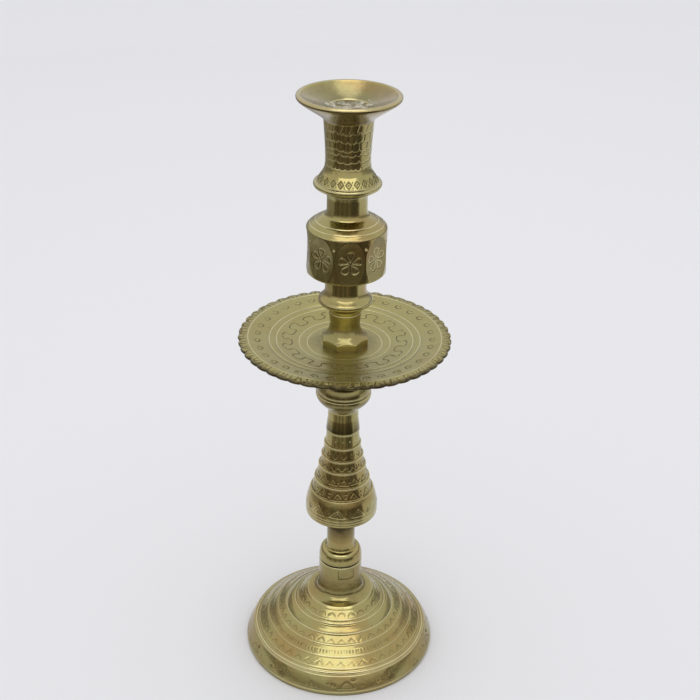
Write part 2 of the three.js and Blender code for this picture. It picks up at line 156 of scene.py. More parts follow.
def bezier(handles: Sequence[Point], samples: int = 28) -> np.ndarray:
    """Points along the Bezier curve of some handles.

    Args:
        handles: start, control points and end.
        samples: how many points to return.

    Returns:
        An array of radii and heights.
    """
    shares = np.linspace(0.0, 1.0, samples)[:, None]
    levels = [np.array(handle, float) * np.ones((samples, 1)) for handle in handles]
    while len(levels) > 1:
        levels = [low * (1 - shares) + high * shares for low, high in zip(levels, levels[1:])]
    return levels[0]


class Outline:
    """The outline of a turned piece, drawn with its metal on the left: out along the foot, up and back in.

    Args:
        radius: radius of the first point.
        height: height of the first point.
        fine: how far apart the stations of an engraved band are.
    """

    # How far apart stations are along a curve and a stained band, and how far from a corner the next one is.
    CURVE = 0.85
    STAINED = 1.6
    SUPPORT = 0.8
    # A groove this deep is scraped bright, and that bright line is also a painted highlight. Its stations lie at these
    # shares of its width, and others keep clear.
    SCRAPED = 0.14
    GROOVE_SHARES = (-0.5, -0.27, 0.0, 0.27, 0.5)
    GROOVE_CLEAR = 0.6
    GROOVE_REACH = 0.51
    # Corners that turn further than this are rounded, by no more than a share of each leg.
    SHARP = 22.0
    CORNER_SHARE = 0.4
    CORNER_DEPTH = 0.25

    def __init__(self, radius: float, height: float, fine: float = 0.42) -> None:
        """Put the pen down."""
        self.fine = fine
        self.pen: Point = (radius, height)
        self.stations = [Station(radius, height)]

    def lines(self, *points: Point) -> "Outline":
        """Draw plain straight stretches from point to point.

        Args:
            points: where each stretch ends.

        Returns:
            The outline itself, so that stretches can be chained.
        """
        for point in points:
            self.draw(point)
        return self

    def draw(self, *handles: Point, band: str = "", stain: str = "", grooves: Sequence[Groove] = (),
             apart: float = 0.0) -> "Outline":
        """Draw one stretch, closer in a band and round each groove.

        Args:
            handles: the end of a straight stretch, or the control points and the end of a curved one.
            band: name of the stretch, if motifs are cut into it.
            stain: name of the stretch, if it is only stained.
            grooves: rings to cut in it.
            apart: how far apart its stations are, if not as usual.

        Returns:
            The outline itself, so that stretches can be chained.
        """
        curved = len(handles) > 1
        path = bezier([self.pen, *handles]) if curved else np.array([self.pen, *handles], float)
        spacing = apart or (self.fine if band else self.CURVE if curved else self.STAINED if stain else 0.0)
        steps = np.diff(path, axis=0)
        lengths = np.hypot(steps[:, 0], steps[:, 1])
        reach = np.concatenate(([0.0], np.cumsum(lengths)))
        total = float(reach[-1])
        if spacing:
            marks = list(np.linspace(0.0, total, max(1, ceil(total / spacing)) + 1)[1:-1])
        else:
            marks = [self.SUPPORT, total - self.SUPPORT] if total > 3 * self.SUPPORT else []
        middles = [(groove.at * total, groove) for groove in grooves]
        marks = [m for m in marks if all(abs(m - middle) > g.width * self.GROOVE_CLEAR for middle, g in middles)]
        marks += [middle + g.width * share for middle, g in middles for share in self.GROOVE_SHARES]
        for mark in sorted(m for m in marks if 0.0 < m < total) + [total]:
            leg = min(int(np.searchsorted(reach, mark, side="left")) - 1, len(steps) - 1)
            across = steps[leg] / lengths[leg]
            cut = sum(g.depth * max(0.0, 1 - (2 * (mark - middle) / g.width) ** 2) for middle, g in middles)
            grooved = any(abs(mark - middle) <= g.width * self.GROOVE_REACH for middle, g in middles)
            radius = float(np.interp(mark, reach, path[:, 0])) - across[1] * cut
            height = float(np.interp(mark, reach, path[:, 1])) + across[0] * cut
            scraped = min(1.0, abs(cut) / self.SCRAPED)
            self.stations.append(Station(radius, height, band or stain, mark - total / 2, scraped, grooved))
        self.pen = (float(path[-1, 0]), float(path[-1, 1]))
        return self

    def eased(self, ease: float) -> list[Station]:
        """The stations, with each sharp corner rounded as wear and polishing leave it.

        Args:
            ease: how far the rounding reaches from a corner.

        Returns:
            The stations of the finished outline.
        """
        out = [self.stations[0]]
        for before, here, after in zip(self.stations, self.stations[1:], self.stations[2:]):
            inward = Vector((here.radius - before.radius, here.height - before.height))
            onward = Vector((after.radius - here.radius, after.height - here.height))
            straight = inward.length * onward.length * cos(radians(self.SHARP))
            if here.firm or inward.dot(onward) > straight or not straight:
                out.append(here)
                continue
            start = inward.normalized() * min(ease, inward.length * self.CORNER_SHARE)
            end = onward.normalized() * min(ease, onward.length * self.CORNER_SHARE)
            for push in (-start, (end - start) * self.CORNER_DEPTH, end):
                out.append(Station(here.radius + push.x, here.height + push.y, here.band, here.along))
        return out + [self.stations[-1]]


# Engraving


@dataclass(frozen=True)
class Motif:
    """A mark left by gravers and punches. Places are measured from its own middle.

    Args:
        lines: straight cuts, each from one point to another.
        arcs: bent cuts, each a middle, a radius, and the angles where it starts and ends.
        dots: round punches, each a middle and a radius.
        width: how wide the cuts are.
    """

    lines: tuple[Cut, ...] = ()
    arcs: tuple[tuple[float, float, float, float, float], ...] = ()
    dots: tuple[tuple[float, float, float], ...] = ()
    width: float = 1.0

    def mask(self, x: np.ndarray, y: np.ndarray) -> np.ndarray:
        """How deep the mark is cut at some places.

        Args:
            x: places across the mark.
            y: places along the mark.

        Returns:
            Shares of the full depth.
        """
        half = self.width / 2
        best = np.zeros_like(x)
        for (ax, ay), (bx, by) in self.lines:
            run = (bx - ax) ** 2 + (by - ay) ** 2
            share = np.clip(((x - ax) * (bx - ax) + (y - ay) * (by - ay)) / run, 0, 1)
            far = np.hypot(x - ax - share * (bx - ax), y - ay - share * (by - ay))
            best = np.maximum(best, 1 - (far / half) ** 2)
        for cx, cy, radius, start, end in self.arcs:
            turn = np.degrees(np.arctan2(y - cy, x - cx))
            turn = start + np.mod(turn - start, 360)
            off = np.where(turn <= end, 0, np.minimum(turn - end, start + 360 - turn))
            far = np.hypot(np.abs(np.hypot(x - cx, y - cy) - radius), np.radians(np.minimum(off, 90)) * radius)
            best = np.maximum(best, 1 - (far / half) ** 2)
        for cx, cy, radius in self.dots:
            best = np.maximum(best, 1 - ((x - cx) ** 2 + (y - cy) ** 2) / radius ** 2)
        return best


def polyline(points: Sequence[Point]) -> tuple[Cut, ...]:
    """The straight cuts that join some points in turn."""
    return tuple(zip(points, points[1:]))


def triangle(left: Point, tip: Point, right: Point) -> tuple[Cut, ...]:
    """The cuts round a triangle."""
    return polyline((left, tip, right, left))


def fan(length: float, spread: float, blades: int) -> tuple[Cut, ...]:
    """Cuts that spread upwards from one root, like a tuft of leaves. Those that lean further are shorter.

    Args:
        length: length of the longest cut.
        spread: angle from the upright to the outermost cut.
        blades: how many cuts there are.

    Returns:
        The cuts.
    """
    shortening, root_width = 0.25, 0.15
    cuts = []
    for blade in range(blades):
        lean = radians(spread * (2 * blade / (blades - 1) - 1))
        reach = length * (1 - shortening * abs(lean))
        root = (sin(lean) * length * root_width, -length / 2)
        cuts.append((root, (sin(lean) * reach, cos(lean) * reach - length / 2)))
    return tuple(cuts)


def petals(count: int, length: float, width: float, turned: float) -> tuple[Cut, ...]:
    """The cuts round the petals of a flower.

    Args:
        count: how many petals there are.
        length: from the middle of the flower to a petal's tip.
        width: width of a petal.
        turned: angle of the first petal.

    Returns:
        The cuts.
    """
    eye, fullness, steps = 0.14, 0.8, 12
    cuts: list[Cut] = []
    for petal in range(count):
        lean = radians(turned + 360 * petal / count)
        rim = []
        for step in range(steps + 1):
            share = step / steps
            out = length * (eye + (1 - eye) * sin(pi * share) ** fullness)
            side = width / 2 * -sin(2 * pi * share)
            rim.append((out * cos(lean) - side * sin(lean), out * sin(lean) + side * cos(lean)))
        cuts += polyline(rim)
    return tuple(cuts)


@dataclass(frozen=True)
class Chasing:
    """One motif repeated round a band by hand.

    Args:
        band: name of the band.
        motif: the motif.
        repeats: how many times it goes round.
        from_front: angle from the front of the candlestick to one of the copies, to the right.
        shift: how far along the band it is moved.
        depth: how deep it is cut.
        unsteady: how far the hand strays.
        bare: whether its cuts show bare metal instead of dirt.
        dirt: how much dirt its cuts hold.
    """

    band: str
    motif: Motif
    repeats: int
    from_front: float = 0.0
    shift: float = 0.0
    depth: float = 0.24
    unsteady: float = 0.12
    bare: bool = False
    dirt: float = 1.0


class Turning:
    """A spun mesh that knows which station of its outline each of its points came from.

    Args:
        name: name of the piece.
        outline: its outline.
        steps: how many points go round it, a multiple of 16.
        foot: height of its foot above the table.
        ease: how far its corners are rounded.
    """

    # A sector is spun and then doubled this often, to the full turn.
    DOUBLINGS = 4
    WELD = 1e-6
    # Corners are felt this far along the outline, and a turn by so many radians counts in full.
    BEND_REACH = 1.1
    FULL_BEND = 1.5
    # Each piece is painted darker near its foot, as shade where it stands on the next one: how high that reaches and
    # how strong it is.
    CONTACT_SHADE = 1.3
    CONTACT_SHADE_FILM = 0.8
    # How much a copy of a motif leans for each millimetre of stray, and how hard copies are struck.
    LEAN = 0.4
    FORCE = (0.75, 1.1)
    # How dark the cuts are, and how much of a hollow stays clean.
    CUT_PATINA = 0.75
    CLEAN_HOLLOW = 0.45

    def __init__(self, name: str, outline: Outline, steps: int, foot: float, ease: float) -> None:
        """Spin the outline and read the mesh back."""
        self.name = name
        self.foot = foot
        self.stations = outline.eased(ease)
        self.mesh = self._spun(steps)
        count = len(self.mesh.vertices)
        places = np.empty(count * 3)
        self.mesh.vertices.foreach_get("co", places)
        places = places.reshape(-1, 3) / MM
        row = np.empty(count, int)
        self.mesh.attributes["station"].data.foreach_get("value", row)
        self.mesh.attributes.remove(self.mesh.attributes["station"])
        self.angle = np.arctan2(places[:, 1], places[:, 0])
        self.radius = np.hypot(places[:, 0], places[:, 1])
        self.height = places[:, 2] - foot
        self.along = np.array([s.along for s in self.stations])[row]
        self.scraped = np.array([s.scraped for s in self.stations])[row]
        self.bands = np.array([s.band for s in self.stations])[row]
        self.cut = np.zeros(count)
        self.outward, self.bend = (values[row] for values in self._section())
        # The film starts as painted shade near the foot of the piece.
        self.film = np.clip(1 - self.height / self.CONTACT_SHADE, 0, 1) * self.CONTACT_SHADE_FILM

    def _spun(self, steps: int) -> bpy.types.Mesh:
        """Spin a sector of the outline about the upright axis, double it up to a full turn and weld it."""
        shape = bmesh.new()
        station = shape.verts.layers.int.new("station")
        points = []
        for index, place in enumerate(self.stations):
            point = shape.verts.new((place.radius * MM, 0.0, (place.height + self.foot) * MM))
            point[station] = index
            points.append(point)
        edges = [shape.edges.new(pair) for pair in zip(points, points[1:])]
        if self.stations[0].radius > 0 and self.stations[-1].radius > 0:
            edges.append(shape.edges.new((points[-1], points[0])))
        sector = 2 * pi / 2 ** self.DOUBLINGS
        bmesh.ops.spin(shape, geom=points + edges, cent=(0, 0, 0), axis=(0, 0, 1), dvec=(0, 0, 0),
                       angle=sector, steps=steps // 2 ** self.DOUBLINGS)
        for doubling in range(self.DOUBLINGS):
            copied = bmesh.ops.duplicate(shape, geom=shape.verts[:] + shape.edges[:] + shape.faces[:])["geom"]
            corners = [part for part in copied if isinstance(part, bmesh.types.BMVert)]
            turn = Matrix.Rotation(sector * 2 ** doubling, 3, "Z")
            bmesh.ops.rotate(shape, verts=corners, cent=(0, 0, 0), matrix=turn)
        bmesh.ops.remove_doubles(shape, verts=shape.verts, dist=self.WELD)
        bmesh.ops.recalc_face_normals(shape, faces=shape.faces)
        # The faces are listed by their lowest corners, so that each run gives the same mesh.
        shape.verts.index_update()
        count = len(shape.verts)
        shape.faces.sort(key=lambda face: sum(
            corner * count ** place for place, corner in enumerate(sorted(v.index for v in face.verts)[:3])))
        return meshed(self.name, shape)

    def _section(self) -> tuple[np.ndarray, np.ndarray]:
        """The way out of the metal at each station, and how far the outline turns round it.

        The turn is above 0 at an arris and below 0 in a hollow.
        """
        steps = np.diff([(s.radius, s.height) for s in self.stations], axis=0)
        gaps = np.hypot(steps[:, 0], steps[:, 1])
        legs = steps / np.maximum(gaps, TINY)[:, None]
        along = np.vstack((legs[:1], legs[:-1] + legs[1:], legs[-1:]))
        along /= np.maximum(np.hypot(along[:, 0], along[:, 1]), TINY)[:, None]
        cross = legs[:-1, 0] * legs[1:, 1] - legs[:-1, 1] * legs[1:, 0]
        turn = np.concatenate(([0.0], np.arcsin(np.clip(cross, -1, 1)), [0.0]))
        reach = np.concatenate(([0.0], np.cumsum(gaps)))
        near = np.clip(1 - np.abs(reach[:, None] - reach) / self.BEND_REACH, 0, 1)
        return np.column_stack((along[:, 1], -along[:, 0])), near @ turn / self.FULL_BEND

    def _cell(self, chasing: Chasing, chosen: np.ndarray) -> tuple[np.ndarray, np.ndarray, np.ndarray]:
        """Places across and along the nearest copy of a motif, and how hard that copy was struck."""
        turns = (self.angle[chosen] + radians(90 - chasing.from_front)) / (2 * pi) * chasing.repeats
        copy = np.mod(np.round(turns).astype(int), chasing.repeats)
        x = (turns - np.round(turns)) * 2 * pi * self.radius[chosen] / chasing.repeats
        y = self.along[chosen] - chasing.shift
        hand = np.random.default_rng(chasing.repeats * 7 + len(chasing.band))
        stray = hand.normal(0, chasing.unsteady, (2, chasing.repeats))
        lean = hand.normal(0, chasing.unsteady * self.LEAN, chasing.repeats)
        force = hand.uniform(*self.FORCE, chasing.repeats)
        x = x + stray[0][copy] + y * lean[copy]
        y = y + stray[1][copy] - x * lean[copy]
        return x, y, force[copy]

    def chase(self, chasings: Iterable[Chasing]) -> None:
        """Cut motifs into their bands.

        Args:
            chasings: the motifs, each with its band.
        """
        for chasing in chasings:
            chosen = self.bands == chasing.band
            x, y, force = self._cell(chasing, chosen)
            mask = np.clip(chasing.motif.mask(x, y), 0, 1) * force
            deep = mask * chasing.depth
            self.radius[chosen] -= self.outward[chosen, 0] * deep
            self.height[chosen] -= self.outward[chosen, 1] * deep
            marked = self.scraped if chasing.bare else self.cut
            marked[chosen] = np.maximum(marked[chosen], mask * chasing.dirt)
            self.film[chosen] *= 1 - mask

    def tarnish(self, band: str, low: float, high: float) -> None:
        """Let a band go brown, by one share at its start and another at its end. On some bands this brown is painted
        shade.

        Args:
            band: the name of the band.
            low: how strong the film is where the band starts.
            high: how strong it is where the band ends.
        """
        chosen = self.bands == band
        along = self.along[chosen]
        film = np.interp(along, (along.min(), along.max()), (low, high))
        self.film[chosen] = np.maximum(self.film[chosen], film)

    def finished(self) -> bpy.types.Object:
        """Write the points back and make the object.

        Returns:
            The piece, with patina, shine and film stored on its points. The film holds stains and painted shade.
        """
        places = np.column_stack((self.radius * np.cos(self.angle), self.radius * np.sin(self.angle),
                                  self.height + self.foot))
        self.mesh.vertices.foreach_set("co", (places * MM).ravel())
        clear = (1 - self.cut) * (1 - self.film)
        values = {
            "patina": np.clip(np.maximum(self.cut * self.CUT_PATINA, -self.bend - self.CLEAN_HOLLOW), 0, 1),
            # Shine is partly wear and partly a painted highlight on arrises and scraped grooves.
            "shine": np.clip(np.maximum(self.bend, self.scraped) * clear, 0, 1),
            "film": self.film,
        }
        for name, value in values.items():
            self.mesh.attributes.new(name, "FLOAT", "POINT").data.foreach_set("value", value)
        self.mesh.polygons.foreach_set("use_smooth", np.ones(len(self.mesh.polygons), bool))
        self.mesh.update()
        return linked(self.name, self.mesh)


# Finishes


def linear(code: str) -> tuple[float, float, float, float]:
    """Turn an sRGB hex colour into the linear colour that a shader takes.

    Args:
        code: the colour, as in "#b2a66e".

    Returns:
        Red, green, blue and full opacity.
    """
    parts = [int(code[i:i + 2], 16) / 255 for i in (1, 3, 5)]
    red, green, blue = (p / 12.92 if p <= 0.04045 else ((p + 0.055) / 1.055) ** 2.4 for p in parts)
    return red, green, blue, 1.0


def add(tree: bpy.types.NodeTree, kind: str, inputs: dict | None = None, **settings: object) -> bpy.types.Node:
    """Add a node.

    Args:
        tree: the tree that it goes to.
        kind: its type.
        inputs: by name or number, a value or another node's socket for each input.
        settings: its properties.

    Returns:
        The node.
    """
    node = tree.nodes.new(kind)
    for name, value in settings.items():
        setattr(node, name, value)
    for name, value in (inputs or {}).items():
        if isinstance(value, bpy.types.NodeSocket):
            tree.links.new(value, node.inputs[name])
        else:
            node.inputs[name].default_value = value
    return node


def per(size: float) -> float:
    """The scale of a pattern whose grains are so many millimetres wide."""
    return 1 / (size * MM)


def ranges(value: bpy.types.NodeSocket, start: float, end: float, low: float, high: float) -> dict[str, object]:
    """What a map range node takes to stretch part of a value's range over another range."""
    return {"Value": value, "From Min": start, "From Max": end, "To Min": low, "To Max": high}


Layer = tuple[bpy.types.NodeSocket, float, float, float, str]
MIX_A, MIX_B, MIX_OUT = 6, 7, 2


def paint(tree: bpy.types.NodeTree, ground: str, layers: Iterable[Layer]) -> bpy.types.NodeSocket:
    """Lay colours over one another, each where its pattern is strong.

    Args:
        tree: the material's tree.
        ground: the lowest colour.
        layers: for each colour over it the pattern, the pattern's values where the colour starts to show and
            where it shows most, how much of it shows there, and the colour.

    Returns:
        The finished colour.
    """
    color: bpy.types.NodeSocket | tuple = linear(ground)
    for pattern, start, end, most, code in layers:
        share = add(tree, "ShaderNodeMapRange", ranges(pattern, start, end, 0.0, most)).outputs[0]
        mix = add(tree, "ShaderNodeMix", {0: share, MIX_A: color, MIX_B: linear(code)}, data_type="RGBA")
        color = mix.outputs[MIX_OUT]
    return color


class Finish:
    """What a surface is made of and how it was worked. Each kind of finish draws its own surface."""

    name: str

    def surface(self, tree: bpy.types.NodeTree, place: bpy.types.NodeSocket) -> dict[str, object]:
        """Draw the surface.

        Args:
            tree: the material's tree.
            place: where a point of the surface lies on its piece.

        Returns:
            What the shader takes.
        """
        raise NotImplementedError

    def build(self) -> bpy.types.Material:
        """Make the material.

        Returns:
            The material.
        """
        material = bpy.data.materials.new(self.name)
        material.use_nodes = True
        tree = material.node_tree
        tree.nodes.clear()
        place = add(tree, "ShaderNodeTexCoord").outputs["Object"]
        shader = add(tree, "ShaderNodeBsdfPrincipled", self.surface(tree, place))
        add(tree, "ShaderNodeOutputMaterial", {"Surface": shader.outputs[0]})
        return material


@dataclass(frozen=True)
class AgedBrass(Finish):
    """Cast brass, turned, chased and handled for years.

    It gives the eye an olive gold that turns browner in patches, dark patina in every cut, paler arrises that are
    partly worn and partly a painted highlight, painted shade in sheltered places, and fine rings left by the lathe.

    Args:
        name: name of the material.
        metal: the bare metal.
        warm: the metal where it has gone browner.
        grey: the metal under a dull film.
        brown: the thin brown film that lies in patches.
        patina: the dirt and tarnish in the cuts.
        bright: the metal where hands have worn it, and the painted highlight on arrises and scraped grooves.
        stain: the thick brown film in sheltered places, which also paints shade under overhangs and near each foot.
        roughness: roughness of the clean metal.
        dulling: how much rougher the film makes it.
        dirt_roughness: how much rougher dirt makes it.
        tarnish: how strong the brown patches are.
        polish: how much old wax polish lies on it.
        polish_roughness: roughness of that polish.
        uneven: how far the surface wavers, in millimetres.
        tooled: how high the marks of tools stand, in millimetres.
        tooling: how strongly those marks show.
    """

    name: str
    metal: str = "#a69c63"
    warm: str = "#a58e55"
    grey: str = "#959071"
    brown: str = "#6b5630"
    patina: str = "#463a1b"
    bright: str = "#ece3b6"
    stain: str = "#41361c"
    roughness: float = 0.16
    dulling: float = 0.1
    dirt_roughness: float = 0.15
    tarnish: float = 0.24
    polish: float = 0.3
    polish_roughness: float = 0.14
    uneven: float = 0.1
    tooled: float = 0.045
    tooling: float = 0.25

    def surface(self, tree: bpy.types.NodeTree, place: bpy.types.NodeSocket) -> dict[str, object]:
        """Colours for film, wear and dirt, over the fine relief that tools and cloths leave."""
        # Scratches of wiping cloths run slanting round the metal.
        slanted = add(tree, "ShaderNodeMapping", {
            "Vector": place, "Rotation": (0.5, 0.9, 0.4), "Scale": (1.0, 30.0, 6.0)}).outputs[0]
        # Rings of the lathe are finer than this on the real metal, and are drawn 0.7 mm apart so that they show.
        flat = add(tree, "ShaderNodeVectorMath", {0: place, 1: (1.0, 1.0, 0.0)}, operation="MULTIPLY")
        radius = add(tree, "ShaderNodeVectorMath", {0: flat.outputs[0]}, operation="LENGTH").outputs["Value"]
        height = add(tree, "ShaderNodeSeparateXYZ", {0: place}).outputs["Z"]
        section = add(tree, "ShaderNodeCombineXYZ", {"X": radius, "Z": height}).outputs[0]
        clouds, film, grain, scratches, rings, uneven = (
            add(tree, "ShaderNodeTexNoise", {
                "Vector": vector, "Scale": per(size), "Detail": detail, "Roughness": rough}).outputs[0]
            for vector, size, detail, rough in (
                (place, 26, 4.0, 0.5), (place, 9, 8.0, 0.68), (place, 1.4, 5.0, 0.5), (slanted, 26, 2.0, 0.5),
                (section, 0.7, 3.0, 0.5), (place, 5, 1.0, 0.5)))
        pits = add(tree, "ShaderNodeTexVoronoi", {"Vector": place, "Scale": per(8)}).outputs["Distance"]
        wear_and_highlight, dirt, stained = (
            add(tree, "ShaderNodeAttribute", attribute_name=name).outputs["Fac"]
            for name in ("shine", "patina", "film"))
        patchy = add(tree, "ShaderNodeMapRange", ranges(film, 0.3, 0.6, 0.6, 1.0)).outputs[0]
        stain = add(tree, "ShaderNodeMath", {0: stained, 1: patchy}, operation="MULTIPLY").outputs[0]
        cuts = add(tree, "ShaderNodeMapRange", ranges(dirt, 0.08, 0.5, 0.0, 0.75)).outputs[0]
        color = paint(tree, self.metal, (
            (clouds, 0.42, 0.64, 1.0, self.warm),
            (grain, 0.45, 0.75, 0.35, self.grey),
            (film, 0.52, 0.74, self.tarnish, self.brown),
            (stain, 0.0, 1.0, 1.0, self.stain),
            # Paler metal where arrises are worn, and a painted highlight on them and on scraped grooves.
            (wear_and_highlight, 0.15, 1.0, 0.6, self.bright),
            # Pits in the casting hold dirt.
            (pits, 0.075, 0.03, 0.7, self.patina),
            (cuts, 0.0, 1.0, 1.0, self.patina),
        ))
        dull = add(tree, "ShaderNodeMapRange", ranges(
            film, 0.4, 0.75, self.roughness, self.roughness + self.dulling)).outputs[0]
        marks = add(tree, "ShaderNodeMapRange", ranges(scratches, 0.62, 0.72, 0.0, 1.0)).outputs[0]
        dull, relief = (
            add(tree, "ShaderNodeMath", {0: value, 1: weight, 2: rest}, operation="MULTIPLY_ADD").outputs[0]
            for value, weight, rest in ((cuts, self.dirt_roughness, dull), (marks, -0.6, rings)))
        relief = add(tree, "ShaderNodeMath", {0: grain, 1: 0.5, 2: relief}, operation="MULTIPLY_ADD").outputs[0]
        # Hand work leaves the surface a little uneven, so that reflections waver.
        waver = add(tree, "ShaderNodeBump", {"Strength": 1.0, "Distance": self.uneven * MM, "Height": uneven})
        bump = add(tree, "ShaderNodeBump", {
            "Strength": self.tooling, "Distance": self.tooled * MM, "Height": relief, "Normal": waver.outputs[0]})
        return {"Base Color": color, "Metallic": 1.0, "Roughness": dull, "Normal": bump.outputs[0],
                "Coat Weight": self.polish, "Coat Roughness": self.polish_roughness}


@dataclass(frozen=True)
class PressedLeather(Finish):
    """A disc of vegetable-tanned leather, squeezed thin and black with age and metal polish.

    It gives the eye a dark, dull line with a fibrous edge.
    """

    name: str = "pressed_leather"
    dark: str = "#1e1810"
    fibre: str = "#4a3a22"
    roughness: float = 0.8

    def surface(self, tree: bpy.types.NodeTree, place: bpy.types.NodeSocket) -> dict[str, object]:
        """Fibres, in colour and in relief."""
        fibre = add(tree, "ShaderNodeTexNoise", {"Vector": place, "Scale": per(0.8), "Detail": 6.0}).outputs[0]
        bump = add(tree, "ShaderNodeBump", {"Strength": 0.6, "Distance": 0.2 * MM, "Height": fibre})
        return {"Base Color": paint(tree, self.dark, ((fibre, 0.0, 1.0, 1.0, self.fibre),)),
                "Roughness": self.roughness, "Normal": bump.outputs[0]}


@dataclass(frozen=True)
class OldWax(Finish):
    """Paraffin wax left by candles, crumbled and dusty.

    It gives the eye a chalky white that lets a little light in, with brown soot between the crumbs.
    """

    name: str = "old_wax"
    crumbs: str = "#cbc7b5"
    soot: str = "#857d5a"
    gaps: str = "#6d6440"
    roughness: float = 0.6

    def surface(self, tree: bpy.types.NodeTree, place: bpy.types.NodeSocket) -> dict[str, object]:
        """Crumbs, with soot between them and deeper brown in the gaps of the crust."""
        crumb = add(tree, "ShaderNodeTexNoise", {"Vector": place, "Scale": per(1.6), "Detail": 5.0}).outputs[0]
        hollow = add(tree, "ShaderNodeAttribute", attribute_name="patina").outputs["Fac"]
        bump = add(tree, "ShaderNodeBump", {"Strength": 0.5, "Distance": 0.2 * MM, "Height": crumb})
        color = paint(tree, self.crumbs, ((crumb, 0.43, 0.58, 0.85, self.soot), (hollow, 0.1, 0.6, 1.0, self.gaps)))
        return {"Base Color": color, "Roughness": self.roughness, "Subsurface Weight": 0.15,
                "Subsurface Scale": 2 * MM, "Normal": bump.outputs[0]}


# Pieces


def foot_of(node: str) -> float:
    """Height of a node's foot above the table."""
    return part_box(node)[0].z / MM


def top_of(node: str) -> float:
    """Height of a node's top above the table."""
    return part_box(node)[1].z / MM


def place(piece: bpy.types.Object, material: bpy.types.Material, body: Body, slot: Slot | None = None,
          node: str = "") -> None:
    """Give a piece its finish, its body and the node that it stands for.

    Args:
        piece: the piece.
        material: its finish.
        body: the body that it rides on.
        slot: the record's slot for its finish. It is not used.
        node: the node that it replaces.
    """
    piece.data.materials.append(material)
    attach(piece, body.value)
    if node:
        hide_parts(node)
    triangles = sum(len(face.vertices) - 2 for face in piece.data.polygons)
    log.info("%s: %d triangles on %s", piece.name, triangles, body.value)


# The handle of a curve that bends early or late lies at one of these shares of its height.
EARLY, LATE = 0.3, 0.75


@dataclass(frozen=True)
class Fit:
    """The holes that the joining screws need.

    Args:
        hole: radius of the holes that the screws turn in.
        depth: depth of such a hole where it ends in the metal.
        pocket_radius: radius of the pocket that the root of a screw is soldered in.
        pocket: depth of that pocket.
        core: radius of the narrow core above the pocket.
    """

    hole: float = 5.3
    depth: float = 11.5
    pocket_radius: float = 5.15
    pocket: float = 10.0
    core: float = 3.6

    def drill(self, outline: Outline, top: float) -> Outline:
        """End an outline with the hole in its top."""
        return outline.lines((self.hole, top), (self.hole, top - self.depth), (0, top - self.depth))

    def sink(self, outline: Outline) -> Outline:
        """Draw the pocket in a foot, from its inner end down."""
        return outline.lines((self.pocket_radius, self.pocket), (self.pocket_radius, 0))


FIT = Fit()


class Piece:
    """A turned piece of the candlestick, from its outline to its finish.

    It has a name, the node that it stands for, the body that it rides on, the slot of its finish, how many points go
    round it and how far its corners are eased. Its stains are bands, with the film where each starts and ends, some of
    it painted shade.
    """

    name: str
    node: str
    body: Body
    slot: Slot = Slot.CAST
    steps: int
    ease: float = 0.35
    stains: tuple[tuple[str, float, float], ...] = ()

    def outline(self) -> Outline:
        """Draw the outline. Each piece has its own."""
        raise NotImplementedError

    def work(self, turning: Turning) -> None:
        """Shape the spun metal further. Most pieces need nothing."""

    def chasings(self) -> tuple[Chasing, ...]:
        """The marks cut into the bands. Plain pieces have none."""
        return ()

    def turned(self) -> bpy.types.Object:
        """Spin the outline, and shape, chase and stain the metal.

        Returns:
            The bare piece.
        """
        turning = Turning(self.name, self.outline(), self.steps, foot_of(self.node), self.ease)
        self.work(turning)
        turning.chase(self.chasings())
        for stain in self.stains:
            turning.tarnish(*stain)
        return turning.finished()

    def build(self, material: bpy.types.Material) -> None:
        """Make the piece and dress it.

        Args:
            material: its finish.
        """
        place(self.turned(), material, self.body, self.slot, self.node)


@dataclass
class Screw(Piece):
    """A joining screw that hangs from the piece above its joint."""

    name: str
    node: str
    body: Body
    radius: float = 5.0
    thread_depth: float = 0.7
    pitch: float = 1.5
    turns: int = 6
    tip: float = 1.0
    chamfer: float = 0.6
    row: float = 0.25
    dirt: float = 0.7
    steps: int = 48
    slot = Slot.SCREW
    ease = 0.0

    def outline(self) -> Outline:
        """Draw the blank, with a row of points for each step of the thread."""
        core = self.radius - self.thread_depth
        length = top_of(self.node) - foot_of(self.node)
        outline = Outline(0, 0).lines((core - self.chamfer, 0), (core, self.chamfer), (core, self.tip))
        outline.draw((self.radius, self.tip), band="thread", apart=self.pitch)
        outline.draw((self.radius, self.tip + self.pitch * self.turns), band="thread", apart=self.row)
        return outline.lines((self.radius, length), (0, length))

    def work(self, turning: Turning) -> None:
        """Cut the thread, and let it run out at its top."""
        cut = turning.bands == "thread"
        height = turning.height[cut]
        crest = np.abs(np.mod(turning.angle[cut] / (2 * pi) - height / self.pitch, 1) * 2 - 1)
        crest = crest * np.clip((self.tip - height) / self.pitch + self.turns, 0, 1)
        turning.radius[cut] -= self.thread_depth * crest
        turning.cut[cut] = crest * self.dirt


@dataclass
class Disc(Piece):
    """A flat ring that lies between two castings. A ragged one has tufts along its soft edge."""

    name: str
    node: str
    body: Body
    radius: float
    steps: int
    slot: Slot
    ease: float
    ragged: float = 0.0
    tufts: float = 6.0
    soft: float = 1.0

    def outline(self) -> Outline:
        """Draw a flat ring as thick as the room for it."""
        thick = top_of(self.node) - foot_of(self.node)
        return Outline(FIT.hole, 0).lines((self.radius, 0), (self.radius, thick), (FIT.hole, thick))

    def work(self, turning: Turning) -> None:
        """Fray the edge."""
        for index in np.nonzero(turning.radius > self.radius - self.soft)[0]:
            spot = Vector((cos(turning.angle[index]), sin(turning.angle[index]), 0.0)) * self.tufts
            turning.radius[index] -= self.ragged * (1 + noise.noise(spot)) / 2


